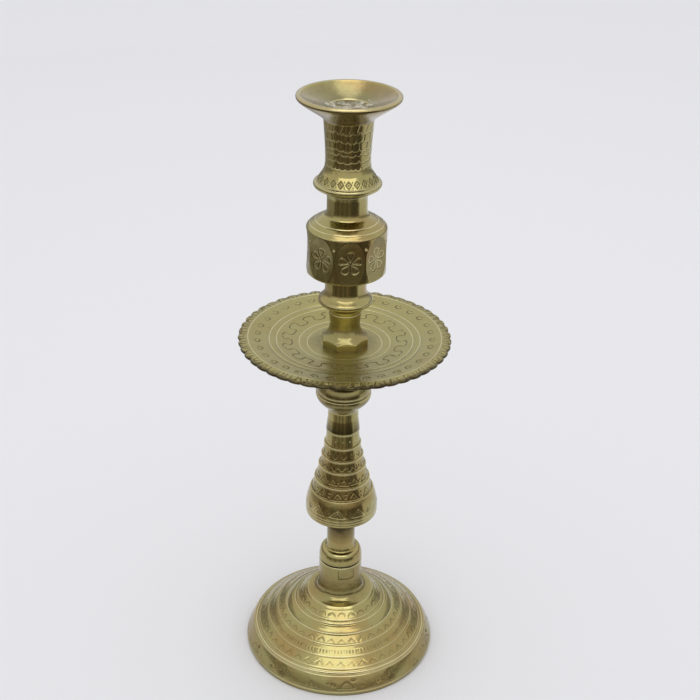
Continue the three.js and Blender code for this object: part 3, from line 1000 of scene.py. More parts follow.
@dataclass
class BaseDome(Piece):
    """The hollow dome that the candlestick stands on, ringed with engraved bands."""

    wall: float = 3.0
    neck_wall: float = 4.5
    foot_radius: float = 66.0
    foot_bulge: float = 0.3
    lip: float = 2.5
    leaf: Point = (5.1, 11.0)
    leaf_fullness: float = 0.65
    pair: Point = (3.0, 1.6)
    lower_zigzag: Point = (6.4, 5.0)
    hatch: Point = (6.5, 5.0)
    upper_zigzag: Point = (6.4, 3.9)
    plain: Point = (4.9, 3.4)
    step: Point = (3.5, 1.9)
    scallop: Point = (5.7, 5.2)
    ridge: Point = (1.7, 1.6)
    neck_radius: float = 14.8
    chamfer: float = 0.4
    flare: float = 7.0
    boss: float = 12.0
    ledge: float = 0.4
    fine: float = 0.62
    neck_fine: float = 0.7
    steps: int = 400
    name = "dome_casting"
    node = "base_dome"
    body = Body.BASE
    stains = (("leaf", 0.15, 0.05), ("heel", 0.1, 0.4), ("neck", 0.35, 0.05))

    def outline(self) -> Outline:
        """Draw the dome from the inside of its foot, over the bands, up the neck and back down inside."""
        height = top_of(self.node)
        edge = (self.foot_radius - self.leaf[0], self.lip + self.leaf[1])
        leaf_radius = edge[0] + self.leaf[0] * self.leaf_fullness
        outline = Outline(self.foot_radius - self.wall, 0, self.fine)
        outline.lines((self.foot_radius, 0), (self.foot_radius + self.foot_bulge, self.lip))
        outline.draw((leaf_radius, self.lip + self.leaf[1] / 2), edge, band="leaf",
                     grooves=(Groove(0.05), Groove(0.95)))
        bead = (Groove(0.1, 0.9, -0.1),)
        bands = (
            (self.pair, "", (Groove(0.45, 1.2, 0.35),)), (self.lower_zigzag, "lower_zigzag", bead),
            (self.hatch, "hatch", bead), (self.upper_zigzag, "upper_zigzag", bead),
            (self.plain, "", (Groove(0.12),)), (self.step, "", (Groove(0.5),)),
            (self.scallop, "scallop", bead), (self.ridge, "", ()),
        )
        radius, z = edge
        for (width, rise), band, grooves in bands:
            outline.lines((radius - self.ledge, z))
            radius -= width
            z += rise
            outline.draw((radius, z), band=band, grooves=grooves)
        outline.draw((self.neck_radius, z), (self.neck_radius, z + self.flare), stain="heel")
        outline.draw((self.neck_radius, height - self.chamfer), band="neck", apart=self.neck_fine)
        flue = self.neck_radius - self.neck_wall
        return outline.lines(
            (self.neck_radius - self.chamfer, height), (FIT.hole, height), (FIT.hole, height - self.boss),
            (flue, height - self.boss), (flue, z), (radius - self.wall / 2, z - self.neck_wall),
            (radius + self.scallop[0], z - self.ridge[1] - self.scallop[1] - self.wall),
            (edge[0] - self.pair[0] - self.wall, edge[1] + self.pair[1] - self.wall),
            (edge[0] - self.wall, edge[1] - self.neck_wall),
        )

    def chasings(self) -> tuple[Chasing, ...]:
        """Arches, zigzags and hatching on the steps, and sparse marks on the foot."""
        arch = Motif(arcs=((0, -1.6, 2.7, 20, 160),), width=0.9)
        wave = Motif(lines=polyline(((-2.5, -1.2), (0, 1.3), (2.5, -1.2))), width=0.85)
        seam = Motif(lines=polyline(((-4.4, 8.5), (-4.4, 1.2), (6.8, 0.4), (6.6, 8.5))), width=0.7)
        tooth = Motif(lines=(((0, -0.9), (0, 0.9)),), dots=((0, 0.9, 0.7),), width=0.8)
        tuft = Motif(lines=fan(8.0, 48, 7), width=1.1)
        strokes = (((-11.6, -1.8), (-10.4, 1.2)), ((-9.4, -2.0), (-8.2, 1.0)))
        delta = Motif(lines=triangle((-5.8, -2.2), (-0.6, 2.2), (5.8, -2.2)) + strokes, width=0.9,
                      dots=((-13.8, 0.6, 0.8), (10.0, -1.6, 0.8)))
        small_delta = Motif(lines=triangle((-3.2, -2.6), (0, 2.0), (3.2, -2.6)))
        drilled = Motif(dots=((0, 0, 1.25),))
        return (
            Chasing("scallop", arch, 24, 4, dirt=0.7),
            Chasing("upper_zigzag", wave, 36, 3, dirt=0.7),
            Chasing("lower_zigzag", wave, 45, 2, dirt=0.7),
            Chasing("hatch", tooth, 144, 0, unsteady=0.05, dirt=0.75),
            Chasing("leaf", tuft, 5, -37, shift=0.3, depth=0.3, dirt=0.6),
            Chasing("leaf", delta, 5, 6, shift=-0.6, dirt=0.8),
            Chasing("leaf", small_delta, 5, -16, shift=-2.0, dirt=0.6),
            Chasing("leaf", drilled, 5, 26, shift=-1.2, depth=0.7),
            Chasing("leaf", drilled, 5, -62, shift=2.2, depth=0.7),
            Chasing("neck", seam, 1, 14, depth=0.16),
        )


@dataclass
class Stem(Piece):
    """The bell-shaped stem: a bead and neck below, five engraved tiers over a belly, and a bead on top."""

    bead: float = 9.0
    bead_side: float = 6.0
    bead_shoulder_radius: float = 13.6
    bead_top_radius: float = 11.0
    cove: float = 6.5
    foot_radius: float = 14.8
    neck_radius: float = 9.6
    neck: float = 23.8
    shaded: float = 9.0
    belly_radius: float = 24.2
    belly_under: float = 7.6
    belly_edge: float = 1.0
    belly_top: float = 18.3
    belly_crown: float = 0.8
    bell_foot_radius: float = 21.3
    bell_top_radius: float = 11.1
    bell_power: float = 1.4
    tiers: tuple[float, ...] = (8.8, 10.4, 7.9, 9.0, 10.4)
    tier_ledge: float = 0.9
    tier_lip: float = 0.35
    tier_lip_height: float = 1.8
    upper_neck_radius: float = 10.1
    upper_neck: float = 14.3
    upper_neck_flare: float = 8.6
    upper_neck_handle: Point = (0.2, 0.85)
    upper_bead_radius: float = 18.1
    upper_bead: float = 11.8
    upper_bead_middle: float = 0.55
    upper_bead_top: float = 2.0
    seat_radius: float = 17.4
    seat_chamfer: float = 0.7
    wall: float = 3.5
    core_wall: float = 5.0
    lean: float = 0.06
    steps: int = 256
    name = "stem_casting"
    node = "stem"
    body = Body.STEM
    # The films on the neck and under the belly are painted shade, darkest just below the belly; the crown's film is
    # painted shade under the tray, darkest at its top.
    stains = (("neck", 0.2, 0.7), ("shaded", 0.8, 1.6), ("under", 1.6, 0.15), ("sloped", 0.9, 0.1),
              ("crown", 0.2, 0.6))

    @property
    def bell(self) -> float:
        """Height of the foot of the bell's first tier."""
        return self.bead + self.neck + self.belly_under + self.belly_top

    def ledge_radius(self, z: float) -> float:
        """Radius of the bell's outline at a height."""
        share = max(self.bell + sum(self.tiers) - z, 0.0) / sum(self.tiers)
        return self.bell_top_radius + (self.bell_foot_radius - self.bell_top_radius) * share ** self.bell_power

    def outline(self) -> Outline:
        """Draw the stem from the pocket for its screw, up the outside and down into the hole in its top."""
        neck = self.bead + self.neck
        belly = neck + self.belly_under
        bell = self.bell
        bell_top = bell + sum(self.tiers)
        upper = bell_top + self.upper_neck
        top = upper + self.upper_bead + self.upper_bead_top
        swell = (self.upper_bead_radius - self.upper_neck_radius) * self.lean
        core_top = bell_top - self.tiers[-1]
        outline = Outline(0, core_top).lines(
            (self.ledge_radius(core_top) - self.core_wall, core_top - self.wall),
            (self.bell_foot_radius - self.core_wall, bell),
            (self.belly_radius - self.core_wall, belly + self.wall), (FIT.core, belly), (FIT.core, FIT.pocket),
        )
        FIT.sink(outline).lines((self.foot_radius, 0))
        outline.draw((self.foot_radius, self.bead_side), (self.bead_shoulder_radius, self.bead),
                     (self.bead_top_radius, self.bead))
        outline.draw((self.neck_radius, self.bead), (self.neck_radius, self.bead + self.cove))
        outline.draw((self.neck_radius, neck - self.shaded), stain="neck")
        outline.draw((self.neck_radius, neck), stain="shaded")
        outline.draw((self.neck_radius, neck + self.belly_under / 2),
                     (self.belly_radius - self.belly_edge, belly - self.belly_edge), stain="under")
        outline.draw((self.belly_radius, belly - self.belly_edge), (self.belly_radius, belly + self.belly_edge))
        outline.draw((self.belly_radius + self.belly_crown, belly + self.belly_top / 2),
                     (self.bell_foot_radius, bell), band="belly", grooves=(Groove(0.05, 0.9), Groove(0.17, 0.9)))
        radius, z = self.bell_foot_radius, bell
        for index, height in enumerate(self.tiers, 1):
            outline.lines((radius - self.tier_ledge, z))
            z += height
            radius = self.ledge_radius(z)
            outline.draw((radius - self.tier_lip, z - self.tier_lip_height), band=f"tier_{index}")
            outline.lines((radius, z - self.tier_lip_height + self.tier_lip))
            outline.draw((radius, z), grooves=(Groove(0.5, 0.7, 0.16),))
        side, rise = self.upper_neck_handle
        outline.draw((self.upper_neck_radius + side, bell_top + self.upper_neck_flare * rise),
                     (self.upper_neck_radius, bell_top + self.upper_neck_flare), stain="sloped")
        outline.lines((self.upper_neck_radius, upper))
        outline.draw((self.upper_neck_radius + swell, upper + self.upper_bead * EARLY),
                     (self.upper_bead_radius - swell, upper + self.upper_bead * self.upper_bead_middle),
                     (self.upper_bead_radius, upper + self.upper_bead), stain="crown")
        outline.lines((self.upper_bead_radius, top - self.seat_chamfer), (self.seat_radius, top))
        return FIT.drill(outline, top)

    def chasings(self) -> tuple[Chasing, ...]:
        """Tufts, triangles and punches on the tiers, and a frieze of nested triangles round the belly."""
        tuft = Motif(lines=fan(3.2, 44, 3), width=0.75)
        dots = Motif(dots=((0, 0, 0.75),))
        delta = Motif(lines=triangle((-2.9, -1.9), (0, 1.9), (2.9, -1.9)), width=0.8)
        wide_delta = Motif(lines=triangle((-4.0, -2.6), (0, 2.5), (4.0, -2.6)), dots=((0, -1.0, 0.8),), width=0.85)
        roof = polyline(((-1.9, -1.6), (0.0, 0.9), (1.9, -1.6)))
        frieze = Motif(lines=triangle((-5.6, -3.2), (0, 3.2), (5.6, -3.2)) + roof, width=0.85)
        return (
            Chasing("tier_5", dots, 14, 2, bare=True),
            Chasing("tier_4", tuft, 14, 5),
            Chasing("tier_3", dots, 18, 10, shift=0.8),
            Chasing("tier_3", tuft, 18, 0),
            Chasing("tier_2", delta, 14, 6),
            Chasing("tier_2", dots, 14, 19),
            Chasing("tier_1", wide_delta, 11, -8),
            Chasing("tier_1", dots, 11, 8, shift=-0.8),
            Chasing("tier_1", dots, 11, 9, shift=1.6),
            Chasing("belly", frieze, 10, -6, bare=True),
            Chasing("belly", tuft, 10, 12),
        )


@dataclass
class TrayCollar(Piece):
    """The turned collar that carries the tray."""

    foot_radius: float = 17.4
    ovolo_radius: float = 13.0
    ovolo: float = 9.5
    waist_radius: float = 11.0
    waist: float = 9.5
    seat_radius: float = 17.0
    flare: float = 12.0
    seat: float = 2.3
    steps: int = 256
    name = "collar_turning"
    node = "tray_collar"
    body = Body.STEM
    # Each film darkens towards the tray above, as painted shade under it.
    stains = (("ovolo", 0.3, 0.6), ("waist", 0.3, 0.5), ("flare", 0.5, 0.7))

    def outline(self) -> Outline:
        """Draw the collar from its hole, out along the foot and up the outside."""
        waist = self.ovolo + self.waist
        flare = waist + self.flare
        outline = Outline(FIT.hole, 0).lines((self.foot_radius, 0))
        outline.draw((self.foot_radius, self.ovolo * LATE), (self.ovolo_radius, self.ovolo), stain="ovolo",
                     grooves=(Groove(0.12, 0.9, 0.25),))
        outline.draw((self.waist_radius, self.ovolo + self.waist * EARLY), (self.waist_radius, waist), stain="waist")
        outline.draw((self.waist_radius, waist + self.flare * LATE), (self.seat_radius, flare), stain="flare")
        return outline.lines((self.seat_radius, flare + self.seat), (FIT.hole, flare + self.seat))


@dataclass
class DripTray(Piece):
    """The dish under the cup, with a nicked rim and rings of punched ornament."""

    radius: float = 68.0
    thick: float = 2.0
    flat_radius: float = 25.0
    rim: float = 6.0
    rise: float = 5.4
    rim_fall: float = 0.5
    edge_under: float = 0.5
    edge_over: float = 0.3
    edge_middle: float = 0.55
    rim_inset: float = 0.7
    rim_step: float = 1.4
    crescents_radius: float = 51.8
    grooved_radius: float = 42.4
    meander_radius: float = 30.6
    foot_shadow_radius: float = 15.5
    scallops: int = 48
    scallop_depth: float = 1.5
    scallop_round: float = 0.7
    hammered: float = 0.5
    hammered_below: float = 1.5
    nick_reach: float = 4.5
    nick_force: Point = (0.6, 1.25)
    nick_dirt: Point = (1.2, 0.7)
    front_darkening: Point = (1.5, 2.0)
    steps: int = 800
    name = "tray_dish"
    node = "drip_tray"
    body = Body.TRAY
    slot = Slot.TRAY
    ease = 0.3
    # The film that grows towards the column's foot is that foot's painted shadow on the dish.
    stains = (("edge", 1.0, 0.9), ("foot_shadow", 0.0, 0.45))

    def surface(self, radius: float) -> float:
        """Height of the dish's upper face at a radius."""
        share = (radius - self.flat_radius) / (self.radius - self.rim - self.flat_radius)
        return self.thick + self.rise * max(0.0, share)

    def outline(self) -> Outline:
        """Draw the dish from its hole, out underneath, round the rim and back in over its rings."""
        rim_radius = self.radius - self.rim
        rim_top = self.thick + self.rise
        edge = rim_top - self.rim_fall
        outline = Outline(FIT.hole, 0).lines(
            (self.flat_radius, 0), (rim_radius, rim_top - self.thick),
            (self.radius - self.edge_under, edge - self.thick))
        outline.draw((self.radius, edge - self.thick * self.edge_middle), stain="edge")
        outline.draw((self.radius - self.edge_over, edge), stain="edge")
        outline.draw((rim_radius + self.rim_inset, rim_top), band="rim")
        rings = (
            (rim_radius - self.rim_step, "", (Groove(0.55),)), (self.crescents_radius, "crescents", ()),
            (self.grooved_radius, "", (Groove(0.4), Groove(0.88))), (self.meander_radius, "meander", ()),
            (self.flat_radius, "", (Groove(0.28),)),
        )
        for radius, band, grooves in rings:
            outline.draw((radius, self.surface(radius)), band=band, grooves=grooves)
        # This last stretch is painted darker towards the column's foot, as its shadow.
        outline.draw((self.foot_shadow_radius, self.thick), stain="foot_shadow", grooves=(Groove(0.12),))
        return outline.lines((FIT.hole, self.thick))

    def work(self, turning: Turning) -> None:
        """Draw the rim in between its scallops and hammer it down there."""
        turns = turning.angle / (2 * pi) * self.scallops
        nick = 1 - np.sin(pi * np.mod(turns, 1)) ** self.scallop_round
        force = np.random.default_rng(5).uniform(*self.nick_force, self.scallops)
        which = np.mod(np.floor(turns + 0.5).astype(int), self.scallops)
        near = np.clip((turning.radius - self.radius + self.nick_reach) / self.nick_reach, 0, 1) ** 2
        deep = nick * near * force[which]
        turning.radius -= self.scallop_depth * deep
        upper = turning.height > self.thick + self.rise - self.hammered_below
        turning.height -= self.hammered * deep * upper
        strength, most = self.nick_dirt
        turning.cut = np.maximum(turning.cut, np.clip(deep * strength, 0, most))
        # The rim is darker towards the front of the candlestick.
        around, inward = self.front_darkening
        front = np.clip(-around * np.sin(turning.angle), 0, 1) ** 2
        turning.film = np.maximum(turning.film, front * np.clip(near * inward, 0, 1))

    def chasings(self) -> tuple[Chasing, ...]:
        """A meander, a ring of crescents, and nicks and dents along the rim."""
        length, overhang, height, points = 14.5, 1.7, 3.3, 25
        wave = [(length * share + overhang * sin(4 * pi * share), height * cos(2 * pi * share))
                for share in np.linspace(-0.5, 0.5, points)]
        meander = Motif(lines=polyline(wave), width=0.8)
        crescent = Motif(arcs=((0, 0, 2.2, -15, 195),), dots=((0, -0.8, 0.8),), width=0.85)
        nick = Motif(lines=(((-0.3, -2.3), (0.3, 2.2)),), width=0.9)
        dent = Motif(dots=((0, 0, 1.1), (1.6, 0.7, 0.7)))
        return (
            Chasing("meander", meander, 16, 6, depth=0.34, unsteady=0.15),
            Chasing("crescents", crescent, 34, 3, depth=0.34, unsteady=0.25),
            Chasing("rim", nick, 120, 1, depth=0.4, unsteady=0.6),
            Chasing("rim", dent, 67, 2, shift=-1.6, depth=0.5, unsteady=0.7),
        )


@dataclass
class Column(Piece):
    """The column: an eight-sided foot, a waist under a sharp ring, and a knop with eight engraved flats."""

    sides: int = 8
    foot_corner: float = 15.4
    foot_band: float = 4.6
    foot_sharp: float = 0.5
    foot_flare: float = 10.6
    waist_radius: float = 9.6
    ring_under: float = 10.4
    waist_rise: float = 8.0
    scotia: float = 5.6
    ring_edge: float = 17.1
    ring_lean: float = 1.0
    ring_thick: float = 2.2
    ring_middle: float = 0.45
    ring_top: float = 8.2
    neck_radius: float = 13.0
    neck: float = 6.8
    knop_radius: float = 25.4
    knop_edge: float = 24.9
    knop_under: float = 5.5
    knop_chamfer: float = 1.0
    knop: float = 28.0
    bulge: Point = (0.9, 1.4)
    flat_turn: float = 6.0
    dulled: float = 0.33
    shoulder: float = 7.5
    shoulder_top: float = 14.9
    top_neck_radius: float = 12.4
    top_neck: float = 15.2
    top_cove: float = 6.0
    top_seat_radius: float = 13.0
    top_seat: float = 3.0
    wall: float = 3.5
    steps: int = 320
    name = "column_casting"
    node = "column"
    body = Body.COLUMN
    stains = (("flare", 0.15, 0.4), ("waist", 0.4, 0.1))

    @property
    def ring_height(self) -> float:
        """Height of the sharp ring's edge."""
        return self.foot_band + self.foot_flare + self.waist_rise + self.scotia

    @property
    def knop_foot(self) -> float:
        """Height at which the knop's barrel starts."""
        return self.ring_height + self.ring_thick + self.ring_top + self.neck + self.knop_under

    def outline(self) -> Outline:
        """Draw the column from the core behind its knop, down to the foot, up the outside and into the top hole."""
        waist = self.foot_band + self.foot_flare
        ring = self.ring_height
        ring_top = ring + self.ring_thick
        neck = ring_top + self.ring_top
        knop = self.knop_foot
        knop_top = knop + self.knop
        shoulder = knop_top + self.shoulder
        top = shoulder + self.top_neck
        core = self.knop_radius - self.wall * 2
        outline = Outline(0, knop_top - self.wall).lines(
            (core - self.wall, knop_top - self.wall), (core, knop_top - self.wall * 2), (core, knop + self.wall),
            (FIT.core, knop), (FIT.core, FIT.pocket))
        FIT.sink(outline).lines((self.foot_corner, 0))
        outline.draw((self.foot_corner, self.foot_band), band="foot")
        outline.draw((self.waist_radius, self.foot_band + self.foot_flare * EARLY), (self.waist_radius, waist),
                     band="flare")
        outline.draw((self.ring_under, waist + self.waist_rise), stain="waist",
                     grooves=(Groove(0.93, 0.9, 0.25),))
        outline.draw((self.ring_under, ring - self.scotia * EARLY), (self.ring_edge - self.ring_lean, ring))
        outline.lines((self.ring_edge, ring + self.ring_thick * self.ring_middle), (self.ring_edge, ring_top))
        outline.draw((self.ring_edge, ring_top + self.ring_top * EARLY),
                     (self.neck_radius, ring_top + self.ring_top * EARLY), (self.neck_radius, neck))
        outline.lines((self.neck_radius, neck + self.neck))
        outline.draw((self.knop_edge - self.knop_chamfer, knop - self.knop_chamfer), band="under")
        outline.draw((self.knop_edge, knop), band="under")
        outline.draw((self.knop_radius * 2 - self.knop_edge, knop + self.knop / 2), (self.knop_edge, knop_top),
                     band="knop")
        outline.draw((self.knop_edge, knop_top + self.shoulder * EARLY), (self.shoulder_top, shoulder),
                     band="shoulder", grooves=(Groove(0.3), Groove(0.62)))
        outline.draw((self.top_neck_radius, shoulder), (self.top_neck_radius, shoulder + self.top_cove))
        outline.lines((self.top_neck_radius, top - self.top_seat), (self.top_seat_radius, top))
        return FIT.drill(outline, top)

    def work(self, turning: Turning) -> None:
        """File the eight flats on the foot and the knop."""
        side = 360 / self.sides
        lean = np.degrees(turning.angle) + 90 - self.flat_turn
        lean = np.radians(np.mod(lean + side / 2, side) - side / 2)
        share = cos(pi / self.sides)
        along = (turning.height - self.knop_foot - self.knop / 2) / (self.knop / 2)
        flat = self.knop_radius * share + np.where(along < 0, *self.bulge) * along ** 2
        knop = np.isin(turning.bands, ("knop", "under", "shoulder"))
        filed = knop & (flat / np.cos(lean) < turning.radius)
        turning.radius[filed] = (flat / np.cos(lean))[filed]
        turning.film[filed] = self.dulled * (1 + np.clip(along, 0, 1) ** 2)[filed]
        # The foot's flats fade out into its round flare.
        flare = self.foot_band + self.foot_flare
        widening = np.interp(turning.height, (self.foot_band + self.foot_sharp, flare),
                             (self.foot_corner, self.foot_corner + self.knop_radius))
        foot = (turning.height < flare) & (turning.radius > (self.waist_radius + FIT.pocket_radius) / 2)
        turning.radius[foot] = np.minimum(turning.radius, widening * share / np.cos(lean))[foot]

    def chasings(self) -> tuple[Chasing, ...]:
        """A flower on each flat of the knop and a punch between them."""
        flower = Motif(lines=petals(5, 7.4, 4.4, 90), width=0.75)
        punch = Motif(dots=((0, 0, 1.0),))
        between = self.flat_turn + 180 / self.sides
        return (
            Chasing("knop", flower, self.sides, self.flat_turn, shift=-0.6, depth=0.3, bare=True, unsteady=0.1),
            Chasing("knop", punch, self.sides, between, shift=8.6, depth=0.5, bare=True),
        )


@dataclass
class CandleCup(Piece):
    """The cup: a bead, a waisted neck with rows of punched scales, and a wide funnel with a bore for the candle."""

    seat: float = 0.8
    seat_radius: float = 13.0
    bead_radius: float = 20.8
    bead: float = 3.1
    shoulder_radius: float = 19.0
    shoulder: float = 1.7
    taper_radius: float = 15.4
    taper: float = 5.8
    neck_radius: float = 13.65
    neck_foot: float = 8.0
    neck_top_radius: float = 15.05
    neck: float = 24.1
    radius: float = 31.3
    cone: float = 12.1
    cone_inset: float = 0.7
    bend: float = 2.3
    flare_width: float = 3.8
    flare: float = 3.0
    lip: float = 2.8
    lip_start: float = 0.2
    lip_width: float = 3.5
    funnel: float = 5.5
    funnel_edge: float = 0.9
    funnel_handle: Point = (8.0, 2.0)
    bore_radius: float = 11.25
    bore_depth: float = 32.0
    courses: tuple[float, ...] = (7.1, 1.9, -3.3, -6.1, -10.4)
    steps: int = 432
    name = "cup_casting"
    node = "candle_cup"
    body = Body.CUP
    stains = (("cone", 0.7, 0.2), ("lip", 0.7, 0.3), ("funnel", 0.2, 0.5))

    @property
    def top(self) -> float:
        """Height of the rim above the cup's own foot."""
        return (self.seat + self.bead + self.shoulder + self.taper + self.neck_foot + self.neck + self.cone
                + self.lip)

    @property
    def mouth(self) -> float:
        """Height of the foot of the funnel."""
        return self.top - self.funnel - self.funnel_edge

    def outline(self) -> Outline:
        """Draw the cup from the pocket for its screw, up the outside, over the lip and down into the bore."""
        bead = self.seat + self.bead
        shoulder = bead + self.shoulder
        taper = shoulder + self.taper
        neck = taper + self.neck_foot
        cone = neck + self.neck
        lip = cone + self.cone
        inner = self.radius - self.lip_width
        outline = FIT.sink(Outline(0, FIT.pocket)).lines((self.seat_radius, 0), (self.seat_radius, self.seat))
        outline.draw((self.bead_radius, self.seat), (self.bead_radius, bead))
        outline.draw((self.bead_radius, shoulder), (self.shoulder_radius, shoulder))
        outline.draw((self.taper_radius, taper), band="petals", grooves=(Groove(0.04),))
        outline.draw((self.neck_radius, taper + self.neck_foot * EARLY), (self.neck_radius, neck),
                     band="neck_foot")
        outline.draw((self.neck_radius, neck + self.neck * EARLY), (self.neck_top_radius, cone), band="neck")
        outline.draw((self.neck_top_radius, cone + self.bend), (self.radius - self.flare_width, lip - self.flare),
                     (self.radius - self.cone_inset, lip), stain="cone")
        outline.draw((self.radius, lip + self.lip_start), (self.radius, lip + self.lip / 2), stain="lip")
        outline.draw((self.radius, self.top), (self.radius - self.lip_width / 2, self.top))
        outline.draw((inner, self.top), (inner, self.top - self.funnel_edge))
        side, rise = self.funnel_handle
        outline.draw((self.bore_radius + side, self.mouth + rise),
                     (self.bore_radius + self.funnel_edge, self.mouth), stain="funnel")
        outline.draw((self.bore_radius, self.mouth), (self.bore_radius, self.mouth - self.funnel_edge))
        floor = self.mouth - self.funnel_edge - self.bore_depth
        return outline.lines((self.bore_radius, floor), (0, floor))

    def chasings(self) -> tuple[Chasing, ...]:
        """Courses of scales on the neck, a row of scales under them and diamonds on the bead."""
        swag = Motif(arcs=((0, 3.2, 3.6, 228, 312),), width=0.65)
        tick = Motif(lines=(((0, -1.9), (0, 1.9)),), width=0.75)
        slant = Motif(lines=(((-0.9, -1.9), (0.7, 2.0)),), width=0.8)
        petal = Motif(lines=polyline(((0, -2.1), (1.75, 0), (0, 2.1), (-1.75, 0), (0, -2.1))),
                      dots=((0, 0, 0.75), (2.6, 1.6, 0.65), (2.6, -1.8, 0.6)), width=0.8)
        scale = Motif(arcs=((0, 1.6, 2.0, 215, 325),), width=0.7)
        return (
            *(Chasing("neck", swag, 18, 10 * (course % 2), shift=shift, unsteady=0.25, bare=True)
              for course, shift in enumerate(self.courses)),
            *(Chasing("neck", tick, 18, 10 * course, shift=4.6 - 5.2 * course, depth=0.18) for course in (0, 1)),
            Chasing("neck", slant, 18, 5, shift=10.2, bare=True),
            Chasing("neck_foot", scale, 26, 0, shift=1.6, bare=True),
            Chasing("petals", petal, 21, 3, depth=0.4),
        )


@dataclass
class WaxCrust(Piece):
    """Crumbled wax in the mouth of the bore, sunk in the metal where it has fallen away.

    It goes down the bore by its depth and out past it by its width. Its middle dips below the mouth, its edge rises
    above it, and it is sunk and inset in the metal. It slumps to the front.

    Args:
        cup: the cup that it lies in.
        fullness: how far out its top stays low, as a share of the bore.
        lumps: size and closeness of its larger and smaller lumps.
        lowest: how low the lumps go.
        height: how high the lumps stand.
        gap: how high a lump holds no soot.
        crumb: how far apart its stations are.
    """

    cup: CandleCup
    depth: float = 6.0
    dip: float = 1.3
    width: float = 3.0
    rise: float = 0.75
    sunk: float = 1.0
    inset: float = 0.5
    fullness: float = 0.8
    lumps: tuple[Point, ...] = ((1.1, 0.3), (0.7, 0.75), (0.3, 2.0))
    lowest: float = -0.55
    height: float = 0.5
    gap: float = 0.3
    slump: float = 0.7
    crumb: float = 0.3
    steps: int = 240
    name = "wax_crust"
    node = "candle_cup"
    body = Body.CUP
    ease = 0.0

    def outline(self) -> Outline:
        """Draw the crust from the wall of the bore, down, in and back out over its top."""
        brim = self.cup.bore_radius + self.width
        mouth = self.cup.mouth
        outline = Outline(self.cup.bore_radius + self.inset, mouth - self.depth, self.crumb)
        outline.lines((0, mouth - self.depth), (0, mouth - self.dip))
        outline.stations[-1] = Station(0, mouth - self.dip, firm=True)
        outline.draw((self.cup.bore_radius * self.fullness, mouth - self.dip), (brim, mouth + self.rise),
                     band="crust")
        return outline.lines((brim, mouth - self.sunk))

    def work(self, turning: Turning) -> None:
        """Raise the lumps and let the front slump."""
        brim = self.cup.bore_radius + self.width
        for index in np.nonzero(turning.bands == "crust")[0]:
            angle, z = turning.angle[index], turning.height[index]
            spot = Vector((cos(angle) * turning.radius[index], sin(angle) * turning.radius[index], z))
            lump = sum(size * noise.noise(spot * closeness) for size, closeness in self.lumps)
            turning.height[index] += max(lump, self.lowest) * self.height - self.slump * spot.y / brim
            turning.cut[index] = min(1.0, max(0.0, self.gap - lump))

    def build(self, material: bpy.types.Material) -> None:
        """Make the crust and dress it. It stands for no node of its own.

        Args:
            material: its finish.
        """
        place(self.turned(), material, self.body)


# Studio


@dataclass(frozen=True)
class PaleFloor(Finish):
    """Matt paint. It gives the eye an even pale ground."""

    name: str = "pale_floor"
    color: str = "#eeeef0"
    roughness: float = 0.9

    def surface(self, tree: bpy.types.NodeTree, place: bpy.types.NodeSocket) -> dict[str, object]:
        """The same colour all over."""
        return {"Base Color": linear(self.color), "Roughness": self.roughness, "Specular IOR Level": 0.2}


@dataclass(frozen=True)
class Cotton(Finish):
    """Dull cotton cloth, its soft folds painted on as darker shade. It gives the metal something uneven to mirror.

    Its colour changes outwards along the floor, and then up its wall.

    Args:
        name: name of the material.
        colors: its colour at the near edge, further out, far out and at the top.
        reach: radii at which the first, second and third colour are reached, in metres.
        climb: heights between which the third colour turns into the fourth, in metres.
        folds: how strongly the painted shade of folds darkens it.
        shade: the colour in the folds.
    """

    name: str
    colors: tuple[str, str, str, str]
    reach: Point3 = (0.2, 0.3, 0.7)
    climb: Point = (0.0, 0.3)
    folds: float = 0.0
    shade: str = "#1d1a15"

    def surface(self, tree: bpy.types.NodeTree, place: bpy.types.NodeSocket) -> dict[str, object]:
        """Colours by distance, height and fold."""
        flat = add(tree, "ShaderNodeVectorMath", {0: place, 1: (1.0, 1.0, 0.0)}, operation="MULTIPLY").outputs[0]
        radius = add(tree, "ShaderNodeVectorMath", {0: flat}, operation="LENGTH").outputs["Value"]
        height = add(tree, "ShaderNodeSeparateXYZ", {0: place}).outputs["Z"]
        toward = add(tree, "ShaderNodeVectorMath", {0: flat}, operation="NORMALIZE").outputs[0]
        folds = add(tree, "ShaderNodeTexNoise", {"Vector": toward, "Scale": 3.2, "Detail": 2.0}).outputs[0]
        near, middle, far, top = self.colors
        color = paint(tree, near, (
            (radius, *self.reach[:2], 1.0, middle), (radius, *self.reach[1:], 1.0, far),
            # The folds are painted shade on smooth cloth.
            (folds, 0.42, 0.58, self.folds, self.shade), (height, *self.climb, 1.0, top)))
        return {"Base Color": color, "Roughness": 1.0}


@dataclass(frozen=True)
class Screen:
    """A cloth that stands round the candlestick.

    Args:
        name: its name.
        outline: radii and heights of its section, in metres.
        start: angle from the front where it starts, to the right.
        end: angle from the front where it ends.
        cloth: what it is made of.
        folds: how many flat pieces it is made of.
    """

    name: str
    outline: tuple[Point, ...]
    start: float
    end: float
    cloth: Cotton
    folds: int = 48

    def build(self) -> None:
        """Stand it up where only the metal's reflections see it."""
        shape = bmesh.new()
        points = [shape.verts.new((radius, 0, z)) for radius, z in self.outline]
        edges = [shape.edges.new(pair) for pair in zip(points, points[1:])]
        turn = Matrix.Rotation(radians(self.start - 90), 3, "Z")
        bmesh.ops.rotate(shape, verts=points, cent=(0, 0, 0), matrix=turn)
        bmesh.ops.spin(shape, geom=points + edges, cent=(0, 0, 0), axis=(0, 0, 1), dvec=(0, 0, 0),
                       angle=radians(self.end - self.start), steps=self.folds)
        bmesh.ops.recalc_face_normals(shape, faces=shape.faces)
        stood = linked(self.name, meshed(self.name, shape))
        stood.data.materials.append(self.cloth.build())
        stood.visible_camera = False
        stood.visible_diffuse = False
        stood.visible_shadow = False


